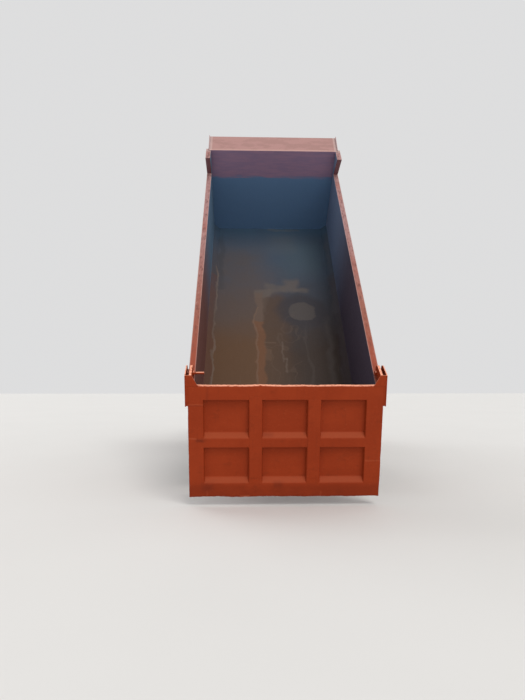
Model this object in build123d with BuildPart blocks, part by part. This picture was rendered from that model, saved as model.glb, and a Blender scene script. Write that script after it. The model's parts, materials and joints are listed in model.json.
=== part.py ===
from build123d import *
from math import atan2, cos, degrees, hypot, radians, sin, sqrt
import os

# A three-axle dump truck in millimetres, with its bed raised and its tailgate hanging.
# Its front faces -Y, its left side is +X and +Z is up. The origin is on the ground, at the
# middle of the whole box. A prism's points are (backward, up) in the plane they are drawn in.

# Wheels
tyre_radius = 555
tyre_width = 290
bead_radius = 262
tyre_sides = 28
# Stations of a tyre from bead to bead: (out from its middle, radius)
tyre_stations = [(-101, 282), (-145, 430), (-137, 520), (-100, tyre_radius), (100, tyre_radius), (137, 520),
                 (145, 430), (101, 282)]
rim_plate = 12
rim_lip = 16
hub_radius = 112
drum_radius = 205
spindle_radius = 60
running_fit = 0.05

# Axles and their places along the truck, measured back from the front axle
wheel_base = 3800
tandem_gap = 1350
front_track = 2040
rear_track = 1800
twin_gap = 42
kingpin_inset = 140
kingpin_radius = 25
front_overhang = 1350
pivot_behind_axle = 650

# Frame, standing on the wheels
frame_above_axle = 165
frame_half_width = 425
frame_depth = 280
frame_flange = 80
frame_plate = 10
subframe_depth = 120
frame_front = 1150
frame_behind_pivot = 100
axle_z = tyre_radius
frame_bottom = axle_z + frame_above_axle
frame_top = frame_bottom + frame_depth
subframe_top = frame_top + subframe_depth
rail_inside = frame_half_width - frame_flange
web_inside = frame_half_width - frame_plate

# Cab, measured back from the front axle
cab_half_width = 1200
cab_wall = 60
cab_front = -1300
cab_back = 550
cab_above_frame = 170
cab_floor_plate = 50
cab_height = 1730
cab_sill_drop = 240
cab_belt = 630
cab_rounding = 45
cab_floor_height = frame_top + cab_above_frame
sill_height = cab_floor_height - cab_sill_drop
belt_height = cab_floor_height + cab_belt
roof_height = cab_floor_height + cab_height
inside_x = cab_half_width - cab_wall

# Bed, measured from its pivot at the back of the frame
pivot_above_frame = 40
pivot_radius = 35
bed_tilt = 51.5
floor_plate = 10
bed_half_inside = 1150
bed_depth = 1285
wall_plate = 8
rail_width = 85
rail_depth = 110
headboard_plate = 10
headboard_rib = 60
headboard_above_rail = 414
bed_to_cab = 771
bed_overhang = 675
sill_depth = 250
sill_rest = 10
beam_below_floor = 210
visor_length = 424
visor_rise = 6
visor_half_width = bed_half_inside + 40
visor_plate = 8
pivot_height = frame_top + pivot_above_frame
pivot_back = wheel_base + tandem_gap + pivot_behind_axle
floor_top = subframe_top + sill_rest - pivot_height + sill_depth + floor_plate
floor_under = floor_top - floor_plate
rail_top = floor_top + bed_depth
headboard_top = rail_top + headboard_above_rail
headboard_back = pivot_back - cab_back - bed_to_cab
floor_end = headboard_back + headboard_plate + headboard_rib
side_out = bed_half_inside + rail_width
beam_bottom = floor_top - beam_below_floor

# Tailgate, measured from its hinge
gate_hang = 14.0
fork_shoulder = 30
gate_hinge_back = 500
gate_above_rail = 60
gate_plate = 10
gate_rib = 60
gate_drop = 100
gate_gap = 5
gate_below_beam = 25
gate_half_width = bed_half_inside + 70
gate_hinge_up = rail_top + gate_above_rail
gate_inner = bed_overhang + gate_gap - gate_hinge_back
gate_outer = gate_inner + gate_plate + gate_rib
gate_top = -gate_drop
gate_bottom = beam_bottom - gate_below_beam - gate_hinge_up

# Hoist, from the bottom trunnion to the eye on the headboard
hoist_ahead_of_headboard = 471
hoist_ahead_of_pivot = headboard_back + hoist_ahead_of_headboard
trunnion_height = frame_top
eye_up = 1150
eye_radius = 55
eye_width = 90
stage_radii = [115, 97, 80, 63, 42]
stage_wall = 9
stage_gap = 5
stage_step = 18
barrel_below = 120
stage_overlap = 100

seat = 0.3


def leaned(lean, back, up):
    """World (y, z) of a point in a frame that leans back by an angle."""
    turn = radians(lean)
    return back * cos(turn) + up * sin(turn), up * cos(turn) - back * sin(turn)


# Places along the truck
hinge_reach, hinge_rise = leaned(bed_tilt, gate_hinge_back, gate_hinge_up)
gate_reach, fork_rise = leaned(gate_hang, gate_outer, fork_shoulder)
front_axle_y = (front_overhang - pivot_back - hinge_reach - gate_reach) / 2
rear_axle_y = [front_axle_y + wheel_base, front_axle_y + wheel_base + tandem_gap]
rear_axle_back = [wheel_base, wheel_base + tandem_gap]
tandem_back = wheel_base + tandem_gap / 2
pivot_y = front_axle_y + pivot_back
hinge_y, hinge_z = pivot_y + hinge_reach, pivot_height + hinge_rise
cradle_back = pivot_back - hoist_ahead_of_pivot
trunnion_y = front_axle_y + cradle_back
eye_reach, eye_rise = leaned(bed_tilt, -hoist_ahead_of_pivot, eye_up)
eye_y, eye_z = pivot_y + eye_reach, pivot_height + eye_rise
hoist_long = hypot(eye_y - trunnion_y, eye_z - trunnion_height)
hoist_short = pivot_height + eye_up - trunnion_height
hoist_lean = degrees(atan2(eye_y - trunnion_y, eye_z - trunnion_height))
stage_stroke = (hoist_long - hoist_short) / (len(stage_radii) - 1)
stage_length = stage_stroke + stage_overlap
rail_stretch = (-frame_front, pivot_back + frame_behind_pivot)


def level(lean, y, z):
    """Plane whose Z leans back by an angle, at a point on the middle plane."""
    turn = radians(lean)
    return Plane(origin=(0, y, z), x_dir=(1, 0, 0), z_dir=(0, sin(turn), cos(turn)))


def side(lean, y, z):
    """Side view plane of the same frame: X is backward, Y is up and the normal is +X."""
    turn = radians(lean)
    return Plane(origin=(0, y, z), x_dir=(0, cos(turn), -sin(turn)), z_dir=(1, 0, 0))


truck = level(0, front_axle_y, 0)
truck_side = side(0, front_axle_y, 0)
bed = level(bed_tilt, pivot_y, pivot_height)
bed_side = side(bed_tilt, pivot_y, pivot_height)
gate = level(gate_hang, hinge_y, hinge_z)
gate_side = side(gate_hang, hinge_y, hinge_z)
hoist = level(hoist_lean, trunnion_y, trunnion_height)
hoist_side = side(hoist_lean, trunnion_y, trunnion_height)
upright = (Align.CENTER, Align.CENTER, Align.MIN)


def block(xs, ys, zs, mode=Mode.ADD):
    """Box between two values on each axis of the part's plane."""
    with Locations(((xs[0] + xs[1]) / 2, (ys[0] + ys[1]) / 2, (zs[0] + zs[1]) / 2)):
        Box(abs(xs[1] - xs[0]), abs(ys[1] - ys[0]), abs(zs[1] - zs[0]), mode=mode)


def both(xs):
    """The same stretch of X on the left and on the right."""
    return [(xs[0], xs[1]), (-xs[1], -xs[0])]


def facing(sign, near, far):
    """A stretch of X on one side of the truck, lowest first."""
    return sorted((sign * near, sign * far))


def prism(points, plane, xs, mode=Mode.ADD):
    """Side view outline, drawn from one X to the other."""
    with BuildSketch(plane.offset(xs[0])) as outline:
        with BuildLine():
            Polyline(*points, close=True)
        make_face()
    extrude(outline.sketch, amount=xs[1] - xs[0], mode=mode)


def rod(radius, plane, centre, xs, mode=Mode.ADD):
    """Round bar across the truck."""
    with BuildSketch(plane.offset(xs[0])) as section:
        with Locations(centre):
            Circle(radius)
    extrude(section.sketch, amount=xs[1] - xs[0], mode=mode)


def post(radius, spot, height, mode=Mode.ADD):
    """Round bar that stands up from a spot."""
    with Locations(spot):
        Cylinder(radius, height, align=upright, mode=mode)


def barrel(radius, spot, length):
    """Round bar that runs backward from a spot."""
    with Locations(Location(spot, (-90, 0, 0))):
        Cylinder(radius, length, align=upright)


def keep(builder, name):
    """Label a finished piece and write it."""
    builder.part.label = name
    export_step(builder.part, "parts/" + name + ".step")


os.makedirs("parts", exist_ok=True)

# Ladder frame: two channels, cross-members, the brackets and tube of the tandem's trunnion, and
# an end plate drilled for a drawbar coupling
cross_backs = [-1000, cradle_back + 330, cradle_back + 1230, cradle_back + 2130, tandem_back, pivot_back - 300]
cross_width = 110
cross_height = 90
trunnion_tube_radius = 55
trunnion_tube_z = 470
trunnion_half_width = 560
bracket_plate = 45
# Outline of a trunnion bracket: (from the tandem's middle, height)
bracket_outline = [(-260, frame_top - 30), (260, frame_top - 30), (90, trunnion_tube_z - 80), (-90, trunnion_tube_z - 80)]
end_plate = 12
coupling_spread = 160
coupling_rise = 100
coupling_hole = 10.5
coupling_z = 850
with BuildPart(truck) as chassis_frame:
    for xs in both((rail_inside, frame_half_width)):
        block(xs, rail_stretch, (frame_bottom, frame_top))
    for xs in both((rail_inside - 1, web_inside)):
        block(xs, (rail_stretch[0] - 1, rail_stretch[1] + 1), (frame_bottom + frame_plate, frame_top - frame_plate),
              Mode.SUBTRACT)
    for back in cross_backs:
        block((-web_inside, web_inside), (back - cross_width / 2, back + cross_width / 2),
              (frame_top - frame_plate - cross_height, frame_top - frame_plate))
    for xs in both((frame_half_width, frame_half_width + bracket_plate)):
        prism([(tandem_back + back, up) for back, up in bracket_outline], truck_side, xs)
    rod(trunnion_tube_radius, truck_side, (tandem_back, trunnion_tube_z), (-trunnion_half_width, trunnion_half_width))
    block((-web_inside, web_inside), (rail_stretch[1] - end_plate, rail_stretch[1]),
          (frame_bottom + frame_plate, frame_top - frame_plate))
    for x in (-coupling_spread / 2, coupling_spread / 2):
        for z in (coupling_z - coupling_rise / 2, coupling_z + coupling_rise / 2):
            with Locations(Location((x, rail_stretch[1] - end_plate - 1, z), (-90, 0, 0))):
                Cylinder(coupling_hole, end_plate + 2, align=upright, mode=Mode.SUBTRACT)
keep(chassis_frame, "chassis_frame")

# Subframe under the bed: two boxes, the pivot's cheeks and shaft, and the hoist's cradle
cheek_radius = 78
cheek_plate = 40
cheek_ahead = 150
cradle_beams = (cradle_back - 260, cradle_back + 330)
cradle_beam = 80
cradle_inset = 10
cradle_plate_x = (168, 198)
cradle_dip = 75
trunnion_pin_radius = 38
subframe_start = cradle_back - 340
cradle_z = (frame_top + cradle_inset, subframe_top - cradle_inset)
with BuildPart(truck) as subframe:
    for xs in both((rail_inside, frame_half_width)):
        block(xs, (subframe_start, pivot_back - cheek_ahead), (frame_top, subframe_top))
    for xs in both((frame_half_width - cheek_plate, frame_half_width)):
        prism([(pivot_back - cheek_ahead, frame_top), (pivot_back + 60, frame_top), (pivot_back + cheek_radius, pivot_height),
               (pivot_back, pivot_height + cheek_radius), (pivot_back - cheek_ahead, subframe_top)], truck_side, xs)
    rod(pivot_radius, truck_side, (pivot_back, pivot_height), (-frame_half_width, frame_half_width))
    for back in cradle_beams:
        block((-rail_inside, rail_inside), (back - cradle_beam / 2, back + cradle_beam / 2), cradle_z)
    for xs in both(cradle_plate_x):
        prism([(cradle_beams[0], cradle_z[1]), (cradle_beams[1], cradle_z[1]), (cradle_beams[1], cradle_z[0]),
               (cradle_back + 90, trunnion_height - cradle_dip), (cradle_back - 90, trunnion_height - cradle_dip),
               (cradle_beams[0], cradle_z[0])], truck_side, xs)
        rod(trunnion_pin_radius + running_fit, truck_side, (cradle_back, trunnion_height), xs, Mode.SUBTRACT)
keep(subframe, "subframe")

# Front bumper with swept ends, air slots, a place for a plate, and pockets for the lamps
bumper_half_width = 1225
bumper_z = (430, 850)
bumper_depth = 130
bumper_end = 160
bumper_sweep = (110, 90)
bumper_skin = 50
# Lamps in the bumper on each side: (inner X, outer X, lowest, highest)
lamps = [(830, 1110, 560, 730), (880, 1060, 458, 535)]
lamp_pocket = 60
lens_gap = 4
lens_inset = 8
plate_half_width = 260
plate_z = (585, 700)
plate_recess = 6
slot_half_width = 620
slot_depth = 70
slots_z = [(735, 768), (788, 821), (470, 540)]
bumper_back = -front_overhang + bumper_depth
with BuildPart(truck) as front_bumper:
    with BuildSketch(truck.offset(bumper_z[0])):
        with BuildLine():
            Polyline((-bumper_half_width, bumper_back + bumper_end),
                     (-bumper_half_width, -front_overhang + bumper_sweep[1]),
                     (-bumper_half_width + bumper_sweep[0], -front_overhang),
                     (bumper_half_width - bumper_sweep[0], -front_overhang),
                     (bumper_half_width, -front_overhang + bumper_sweep[1]),
                     (bumper_half_width, bumper_back + bumper_end),
                     (bumper_half_width - bumper_skin, bumper_back + bumper_end),
                     (bumper_half_width - bumper_skin, bumper_back),
                     (-bumper_half_width + bumper_skin, bumper_back),
                     (-bumper_half_width + bumper_skin, bumper_back + bumper_end), close=True)
        make_face()
    extrude(amount=bumper_z[1] - bumper_z[0])
    for low_x, high_x, low_z, high_z in lamps:
        for xs in both((low_x, high_x)):
            block(xs, (-front_overhang - 1, -front_overhang + lamp_pocket), (low_z, high_z), Mode.SUBTRACT)
    for zs in slots_z:
        block((-slot_half_width, slot_half_width), (-front_overhang - 1, -front_overhang + slot_depth), zs, Mode.SUBTRACT)
    block((-plate_half_width, plate_half_width), (-front_overhang - 1, -front_overhang + plate_recess), plate_z,
          Mode.SUBTRACT)
    for xs in both((rail_inside, frame_half_width)):
        block(xs, (bumper_back, -frame_front), (frame_bottom + frame_plate, bumper_z[1] - frame_plate))
keep(front_bumper, "front_bumper")

with BuildPart(truck) as headlamps:
    for low_x, high_x, low_z, high_z in lamps:
        for xs in both((low_x + lens_gap, high_x - lens_gap)):
            block(xs, (-front_overhang + lens_inset, -front_overhang + lamp_pocket), (low_z + lens_gap, high_z - lens_gap))
keep(headlamps, "headlamps")

# Engine and gearbox as one plain block, low enough for the hoist's foot
engine_half_width = 320
engine_back = (-930, 60)
engine_z = (600, 1340)
gearbox_half_width = 200
gearbox_end = 640
gearbox_z = (620, 850)
engine_foot_backs = [-640, -40]
engine_foot = 120
engine_foot_z = (frame_top - 120, frame_top - 40)
with BuildPart(truck) as engine_block:
    block((-engine_half_width, engine_half_width), engine_back, engine_z)
    block((-gearbox_half_width, gearbox_half_width), (engine_back[1], gearbox_end), gearbox_z)
    for xs in both((engine_half_width, rail_inside)):
        for back in engine_foot_backs:
            block(xs, (back - engine_foot / 2, back + engine_foot / 2), engine_foot_z)
keep(engine_block, "engine_block")

# Leaf springs' places: the front stacks bend up to their hangers, the rear ones arch over the tandem
leaf = 14
front_leaves = [340, 460, 580, 700, 800]
rear_leaves = [740, 720, 660, 590, 510, 430, 340, 250]
front_bend = 6400
rear_bend = 3800
front_spring_x = (345, 425)
spring_x = (470, 560)
front_pad_top = 560
rear_pad_top = 640
rear_pad_half = 70
rear_arch = tandem_gap ** 2 / 8 / rear_bend
rear_leaf_foot = rear_pad_top + rear_arch


def leaf_height(out):
    """Underside of the rear stack at a distance from the tandem's middle."""
    return rear_leaf_foot - rear_bend + sqrt(rear_bend ** 2 - out ** 2)


# Rear axles: a tube with a round middle, a nose for the shaft and a spindle into each hub
axle_tube_radius = 75
banjo_radius = 235
banjo_width = 210
banjo_end = 95
spindle_end = 985
hub_inner_face = 660
axle_clear = 15
nose_length = 330
nose_radius = 95
nose_z = axle_z + 40
with BuildPart(truck) as rear_axles:
    for row, back in enumerate(rear_axle_back):
        rod(axle_tube_radius, truck_side, (back, axle_z), (-hub_inner_face + axle_clear, hub_inner_face - axle_clear))
        rod(spindle_radius, truck_side, (back, axle_z), (-spindle_end, spindle_end))
        for low, high in ((-banjo_width, 0), (0, banjo_width)):
            with BuildSketch(truck_side.offset(low)):
                with Locations((back, axle_z)):
                    Circle(banjo_end if low else banjo_radius)
            with BuildSketch(truck_side.offset(high)):
                with Locations((back, axle_z)):
                    Circle(banjo_end if high else banjo_radius)
            loft()
        barrel(nose_radius, (0, back - nose_length, nose_z), nose_length)
        near, far = back - tandem_back - rear_pad_half, back - tandem_back + rear_pad_half
        for xs in both(spring_x):
            prism([(tandem_back + near, axle_z), (tandem_back + far, axle_z), (tandem_back + far, leaf_height(far) - seat),
                   (tandem_back + near, leaf_height(near) - seat)], truck_side, xs)
keep(rear_axles, "rear_axles")

# Propeller shafts, each a tube with a joint at either end: (start, end), each (back, height)
shaft_radius = 45
joint_radius = 60
joint_length = 110
gearbox_shaft_z = 735
banjo_flange = 30
noses = [back - nose_length for back in rear_axle_back]
shafts = [((gearbox_end + seat, gearbox_shaft_z), (noses[0] - seat, nose_z)),
          ((rear_axle_back[0] + banjo_radius + banjo_flange, nose_z), (noses[1] - seat, nose_z))]
with BuildPart(truck) as propshafts:
    for start, end in shafts:
        fall = degrees(atan2(end[1] - start[1], end[0] - start[0]))
        run = joint_length / 2
        with Locations(Location((0, start[0] + run * cos(radians(fall)), start[1] + run * sin(radians(fall))),
                                (fall - 90, 0, 0))):
            Cylinder(shaft_radius, hypot(end[0] - start[0], end[1] - start[1]) - joint_length, align=upright)
        barrel(joint_radius, (0, start[0], start[1]), joint_length)
        barrel(joint_radius, (0, end[0] - joint_length, end[1]), joint_length)
keep(propshafts, "propshafts")

# Front axle: a beam with a dropped middle and an upright boss for each kingpin
kingpin_x = front_track / 2 - kingpin_inset
boss_radius = 55
boss_z = (490, 620)
beam_half = 45
# Upper half of the beam's outline from the middle out: (X, lowest, highest)
beam_sections = [(560, 430, 530), (700, 500, 600), (kingpin_x, 500, 610)]
front_pad_half = 80
front_pad_z = 500
with BuildPart(truck) as front_axle:
    lower = [(x, low) for x, low, high in beam_sections]
    upper = [(x, high) for x, low, high in beam_sections]
    outline = [(-x, z) for x, z in reversed(lower)] + lower + upper[::-1] + [(-x, z) for x, z in upper]
    with BuildSketch(Plane.XZ.offset(-front_axle_y + beam_half)):
        with BuildLine():
            Polyline(*outline, close=True)
        make_face()
    extrude(amount=-2 * beam_half)
    for xs in both(front_spring_x):
        block(xs, (-front_pad_half, front_pad_half), (front_pad_z, front_pad_top))
    for x in (kingpin_x, -kingpin_x):
        post(boss_radius, (x, 0, boss_z[0]), boss_z[1] - boss_z[0])
    for x in (kingpin_x, -kingpin_x):
        post(kingpin_radius + running_fit, (x, 0, boss_z[0]), boss_z[1] - boss_z[0], Mode.SUBTRACT)
keep(front_axle, "front_axle")


def bent_leaf(xs, middle, foot, row, half, bend):
    """One leaf of a stack, bent up (bend above 0) or down about a point over or under its middle."""
    near = foot + row * leaf
    centre = foot + bend
    ends = []
    for low in (near, near + leaf):
        turn = half / abs(bend)
        ends.append([(middle + sign * abs(centre - low) * sin(turn), centre - (centre - low) * cos(turn))
                     for sign in (-1, 1)])
    with BuildSketch(truck_side.offset(xs[0])) as outline:
        with BuildLine():
            ThreePointArc(ends[0][0], (middle, near), ends[0][1])
            Line(ends[0][1], ends[1][1])
            ThreePointArc(ends[1][1], (middle, near + leaf), ends[1][0])
            Line(ends[1][0], ends[0][0])
        make_face()
    extrude(outline.sketch, amount=xs[1] - xs[0])


hanger_reach = 760
hanger_half = 35
hanger_foot = 655
saddle_half = 110
clamp_half = 60
clamp_plate = 22
with BuildPart(truck) as leaf_springs:
    for xs in both(front_spring_x):
        for row, half in enumerate(front_leaves):
            bent_leaf(xs, 0, front_pad_top, row, half, front_bend)
        for end in (-hanger_reach, hanger_reach):
            block(xs, (end - hanger_half, end + hanger_half), (hanger_foot, frame_bottom))
        stack = front_pad_top + len(front_leaves) * leaf
        block(xs, (-clamp_half, clamp_half), (stack - 1, stack + clamp_plate))
    for xs in both(spring_x):
        for row, half in enumerate(rear_leaves):
            bent_leaf(xs, tandem_back, rear_leaf_foot, row, half, -rear_bend)
        stack = rear_leaf_foot + len(rear_leaves) * leaf
        block(xs, (tandem_back - clamp_half, tandem_back + clamp_half), (stack - 1, stack + clamp_plate))
        block(xs, (tandem_back - saddle_half, tandem_back + saddle_half), (trunnion_tube_z, rear_leaf_foot))
        rod(trunnion_tube_radius, truck_side, (tandem_back, trunnion_tube_z), xs, Mode.SUBTRACT)
keep(leaf_springs, "leaf_springs")

# Steering knuckles: a yoke round the beam's end, the kingpin and a stub axle
yoke_plate = 24
yoke_gap = 0.5
yoke_reach = 80
yoke_half = 45
yoke_wall = boss_radius + 6
stub_end = 1110
knuckle_z = (boss_z[0] - yoke_gap - yoke_plate, boss_z[1] + yoke_gap + yoke_plate)
sides = {1: "left", -1: "right"}
for sign, hand in sides.items():
    with BuildPart(truck) as knuckle:
        post(kingpin_radius, (sign * kingpin_x, 0, knuckle_z[0]), knuckle_z[1] - knuckle_z[0])
        for z in (knuckle_z[0], knuckle_z[1] - yoke_plate):
            post(boss_radius, (sign * kingpin_x, 0, z), yoke_plate)
            block(facing(sign, kingpin_x, kingpin_x + yoke_reach), (-yoke_half, yoke_half), (z, z + yoke_plate))
        block(facing(sign, kingpin_x + yoke_wall, kingpin_x + yoke_reach), (-yoke_half, yoke_half), knuckle_z)
        rod(spindle_radius, truck_side, (0, axle_z), facing(sign, kingpin_x + yoke_wall + 9, stub_end))
    keep(knuckle, "knuckle_" + hand)


def tyre_ring(middle, y):
    """One tyre: flat-sided stations from bead to bead, bored for its rim."""
    stations = []
    for out, radius in tyre_stations:
        with BuildSketch(Plane(origin=(middle + out, y, axle_z), x_dir=(0, 1, 0), z_dir=(1, 0, 0))) as station:
            RegularPolygon(radius, tyre_sides)
        stations.append(station.sketch)
    loft(stations, ruled=True)
    with BuildSketch(Plane(origin=(middle - tyre_width / 2, y, axle_z), x_dir=(0, 1, 0), z_dir=(1, 0, 0))) as bore:
        RegularPolygon(bead_radius, tyre_sides, major_radius=False)
    extrude(bore.sketch, amount=tyre_width, mode=Mode.SUBTRACT)


def turned(points, spot, sign):
    """Solid turned about an axle from (outward, radius) points."""
    with BuildSketch(Plane(origin=spot, x_dir=(sign, 0, 0), z_dir=(0, -sign, 0))) as section:
        with BuildLine():
            Polyline(*points, close=True)
        make_face()
    revolve(section.sketch, axis=Axis(spot, (1, 0, 0)))


disc_plate = 14
disc_dish = 30
disc_flat = 170
hand_holes = 10
hand_hole_radius = 26
hand_hole_circle = 211
rim_edge = 22
# Half of the rim's edge from its outside in: (in from the tyre's width, radius)
rim_section = [(rim_edge, bead_radius - rim_plate), (rim_edge, bead_radius + rim_lip),
               (rim_edge + 12, bead_radius + rim_lip), (rim_edge + 18, bead_radius - seat)]
fit = spindle_radius + running_fit


def wheel_rim(middle, y, face, sign):
    """Rim barrel with a lip at each edge, and a dished disc with hand holes behind its mounting face."""
    spot = (middle, y, axle_z)
    half = tyre_width / 2
    turned([(-half + inset, radius) for inset, radius in rim_section] +
           [(half - inset, radius) for inset, radius in reversed(rim_section)], spot, sign)
    near = sign * (face - middle)
    toward = 1 if near < 0 else -1
    inside = bead_radius - rim_plate + 2
    turned([(near, fit), (near, disc_flat), (near + toward * disc_dish, inside),
            (near + toward * (disc_dish + disc_plate), inside), (near + toward * disc_plate, disc_flat - 2),
            (near + toward * disc_plate, fit)], spot, sign)
    with BuildSketch(Plane(origin=(face, y, axle_z), x_dir=(0, 1, 0), z_dir=(sign * toward, 0, 0))) as holes:
        with PolarLocations(hand_hole_circle, hand_holes):
            Circle(hand_hole_radius)
    extrude(holes.sketch, amount=disc_dish + disc_plate, mode=Mode.SUBTRACT)


# Front wheels: tyre, and a rim whose disc stands outboard with the hub through it
disc_out = 70
front_hub_inner = 965
front_face = front_track / 2 + disc_out
front_hub = [(front_hub_inner, fit), (front_hub_inner, drum_radius), (front_face - 40, drum_radius),
             (front_face - 14, 150), (front_face + 6, 150), (front_face + 6, 95), (front_face + 70, 80),
             (front_face + 78, 0), (stub_end + 4, 0), (stub_end + 4, fit)]
for sign, hand in sides.items():
    middle = sign * front_track / 2
    with BuildPart() as front_tyre:
        tyre_ring(middle, front_axle_y)
    keep(front_tyre, "front_tyre_" + hand)
    with BuildPart() as front_rim:
        wheel_rim(middle, front_axle_y, sign * front_face, sign)
        turned(front_hub, (0, front_axle_y, axle_z), sign)
    keep(front_rim, "front_rim_" + hand)

# Rear wheels: twin tyres, twin rims back to back and one hub with its drum
twin_offset = (tyre_width + twin_gap) / 2
rear_face = rear_track / 2
rear_hub = [(hub_inner_face, fit), (hub_inner_face, drum_radius), (rear_face - 60, drum_radius), (rear_face - 20, 150),
            (rear_face + 30, 150), (rear_face + 30, hub_radius), (rear_face + 120, hub_radius - 8),
            (rear_face + 132, 70), (rear_face + 140, 0), (spindle_end + 4, 0), (spindle_end + 4, fit)]
for row, y in enumerate(rear_axle_y, 1):
    for sign, hand in sides.items():
        middles = [sign * (rear_face - twin_offset), sign * (rear_face + twin_offset)]
        with BuildPart() as rear_tyres:
            for middle in middles:
                tyre_ring(middle, y)
        keep(rear_tyres, "rear_tyres_%d_%s" % (row, hand))
        with BuildPart() as rear_rims:
            for middle in middles:
                wheel_rim(middle, y, sign * rear_face, sign)
            turned(rear_hub, (0, y, axle_z), sign)
        keep(rear_rims, "rear_rims_%d_%s" % (row, hand))

# Fuel tank on the right with its two brackets
tank_x = (frame_half_width + 50, 1130)
tank_back = (1500, 2750)
tank_z = (560, 1080)
tank_rounding = 90
tank_brackets = [1700, 2500]
tank_bracket = 60
with BuildPart(truck) as fuel_tank:
    block((-tank_x[1], -tank_x[0]), tank_back, tank_z)
    fillet(fuel_tank.edges().filter_by(Axis.Y), tank_rounding)
    for back in tank_brackets:
        stretch = (back, back + tank_bracket)
        block((-tank_x[0] - 120, -frame_half_width), stretch, (frame_bottom + 20, frame_top - 60))
        block((-tank_x[1] + 100, -frame_half_width), stretch, (tank_z[0] - 40, tank_z[0] + 30))
        block((-tank_x[0], -frame_half_width), stretch, (tank_z[0] - 40, frame_bottom + 20))
keep(fuel_tank, "fuel_tank")

# Battery box on the left
battery_x = (frame_half_width + 60, 980)
battery_back = (1600, 2250)
battery_z = (600, 1040)
battery_rounding = 30
with BuildPart(truck) as battery_box:
    block(battery_x, battery_back, battery_z)
    fillet(battery_box.edges().filter_by(Axis.Y), battery_rounding)
    block((frame_half_width, battery_x[0]), (battery_back[0] + 80, battery_back[1] - 80),
          (frame_bottom + 20, frame_top - 60))
keep(battery_box, "battery_box")

# Oil tank of the hoist, on the left between the cab and the bed
oil_x = (frame_half_width + 20, 870)
oil_back = (800, 1190)
oil_z = (850, 1480)
oil_rounding = 50
filler_radius = 45
filler_height = 40
with BuildPart(truck) as oil_tank:
    block(oil_x, oil_back, oil_z)
    fillet(oil_tank.edges().filter_by(Axis.Z), oil_rounding)
    post(filler_radius, ((oil_x[0] + oil_x[1]) / 2, oil_back[0] + 120, oil_z[1]), filler_height)
    for back in (oil_back[0] + 70, oil_back[1] - 130):
        block((frame_half_width, oil_x[0]), (back, back + 60), (frame_bottom + 20, frame_top - 20))
        block((frame_half_width, oil_x[1] - 60), (back, back + 60), (oil_z[0] - 40, oil_z[0]))
        block((frame_half_width, frame_half_width + 20), (back, back + 60), (oil_z[0] - 40, frame_top - 20))
keep(oil_tank, "oil_tank")

# Air cleaner on the right between the cab and the bed, with its intake stack beside the cab's back
cleaner_spot = (-690, 850)
cleaner_radius = 165
cleaner_z = (1000, 1600)
stack_radius = 60
stack_top = 2660
cap_radius = 115
cap_height = 130
cleaner_shelf = 38
with BuildPart(truck) as air_cleaner:
    post(cleaner_radius, (*cleaner_spot, cleaner_z[0]), cleaner_z[1] - cleaner_z[0])
    post(cleaner_radius + 10, (*cleaner_spot, cleaner_z[0] + 170), 30)
    post(cleaner_radius - 45, (*cleaner_spot, cleaner_z[1]), 50)
    post(stack_radius, (*cleaner_spot, cleaner_z[1]), stack_top - cleaner_z[1])
    post(cap_radius, (*cleaner_spot, stack_top), cap_height)
    fillet(air_cleaner.edges().group_by(Axis.Z)[-1], 45)
    block((cleaner_spot[0] - 120, -frame_half_width), (cleaner_spot[1] - 50, cleaner_spot[1] + 50),
          (cleaner_z[0] - cleaner_shelf, cleaner_z[0]))
keep(air_cleaner, "air_cleaner")

# Air tanks on the left behind the battery box, on one bracket: (X, height)
air_tank_radius = 125
air_tank_back = (2400, 3080)
air_tank_dome = 35
air_tank_spots = [(620, 860), (620, 590), (890, 590)]
hanger_back = (2600, 2660)
# Bars of the bracket: (inner X, outer X, lowest, highest)
hanger_bars = [(frame_half_width, 620, 780, 940), (480, 900, 700, 740), (590, 650, 590, 860), (860, 920, 590, 740)]
with BuildPart(truck) as air_tanks:
    for x, z in air_tank_spots:
        barrel(air_tank_radius, (x, air_tank_back[0], z), air_tank_back[1] - air_tank_back[0])
    fillet(air_tanks.edges().filter_by(GeomType.CIRCLE), air_tank_dome)
    for low_x, high_x, low_z, high_z in hanger_bars:
        block((low_x, high_x), hanger_back, (low_z, high_z))
keep(air_tanks, "air_tanks")

# Silencer on the right with its tail pipe turned down
silencer_radius = 190
silencer_back = (780, 1380)
silencer_spot = (-760, 760)
silencer_dome = 40
tail_pipe_radius = 55
with BuildPart(truck) as silencer:
    barrel(silencer_radius, (silencer_spot[0], silencer_back[0], silencer_spot[1]), silencer_back[1] - silencer_back[0])
    fillet(silencer.edges().filter_by(GeomType.CIRCLE), silencer_dome)
    block((silencer_spot[0], -frame_half_width), (silencer_back[0] + 150, silencer_back[0] + 450), (820, 920))
    post(tail_pipe_radius, (silencer_spot[0] - 60, silencer_back[0] + 120, 480), 200)
keep(silencer, "silencer")

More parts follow.
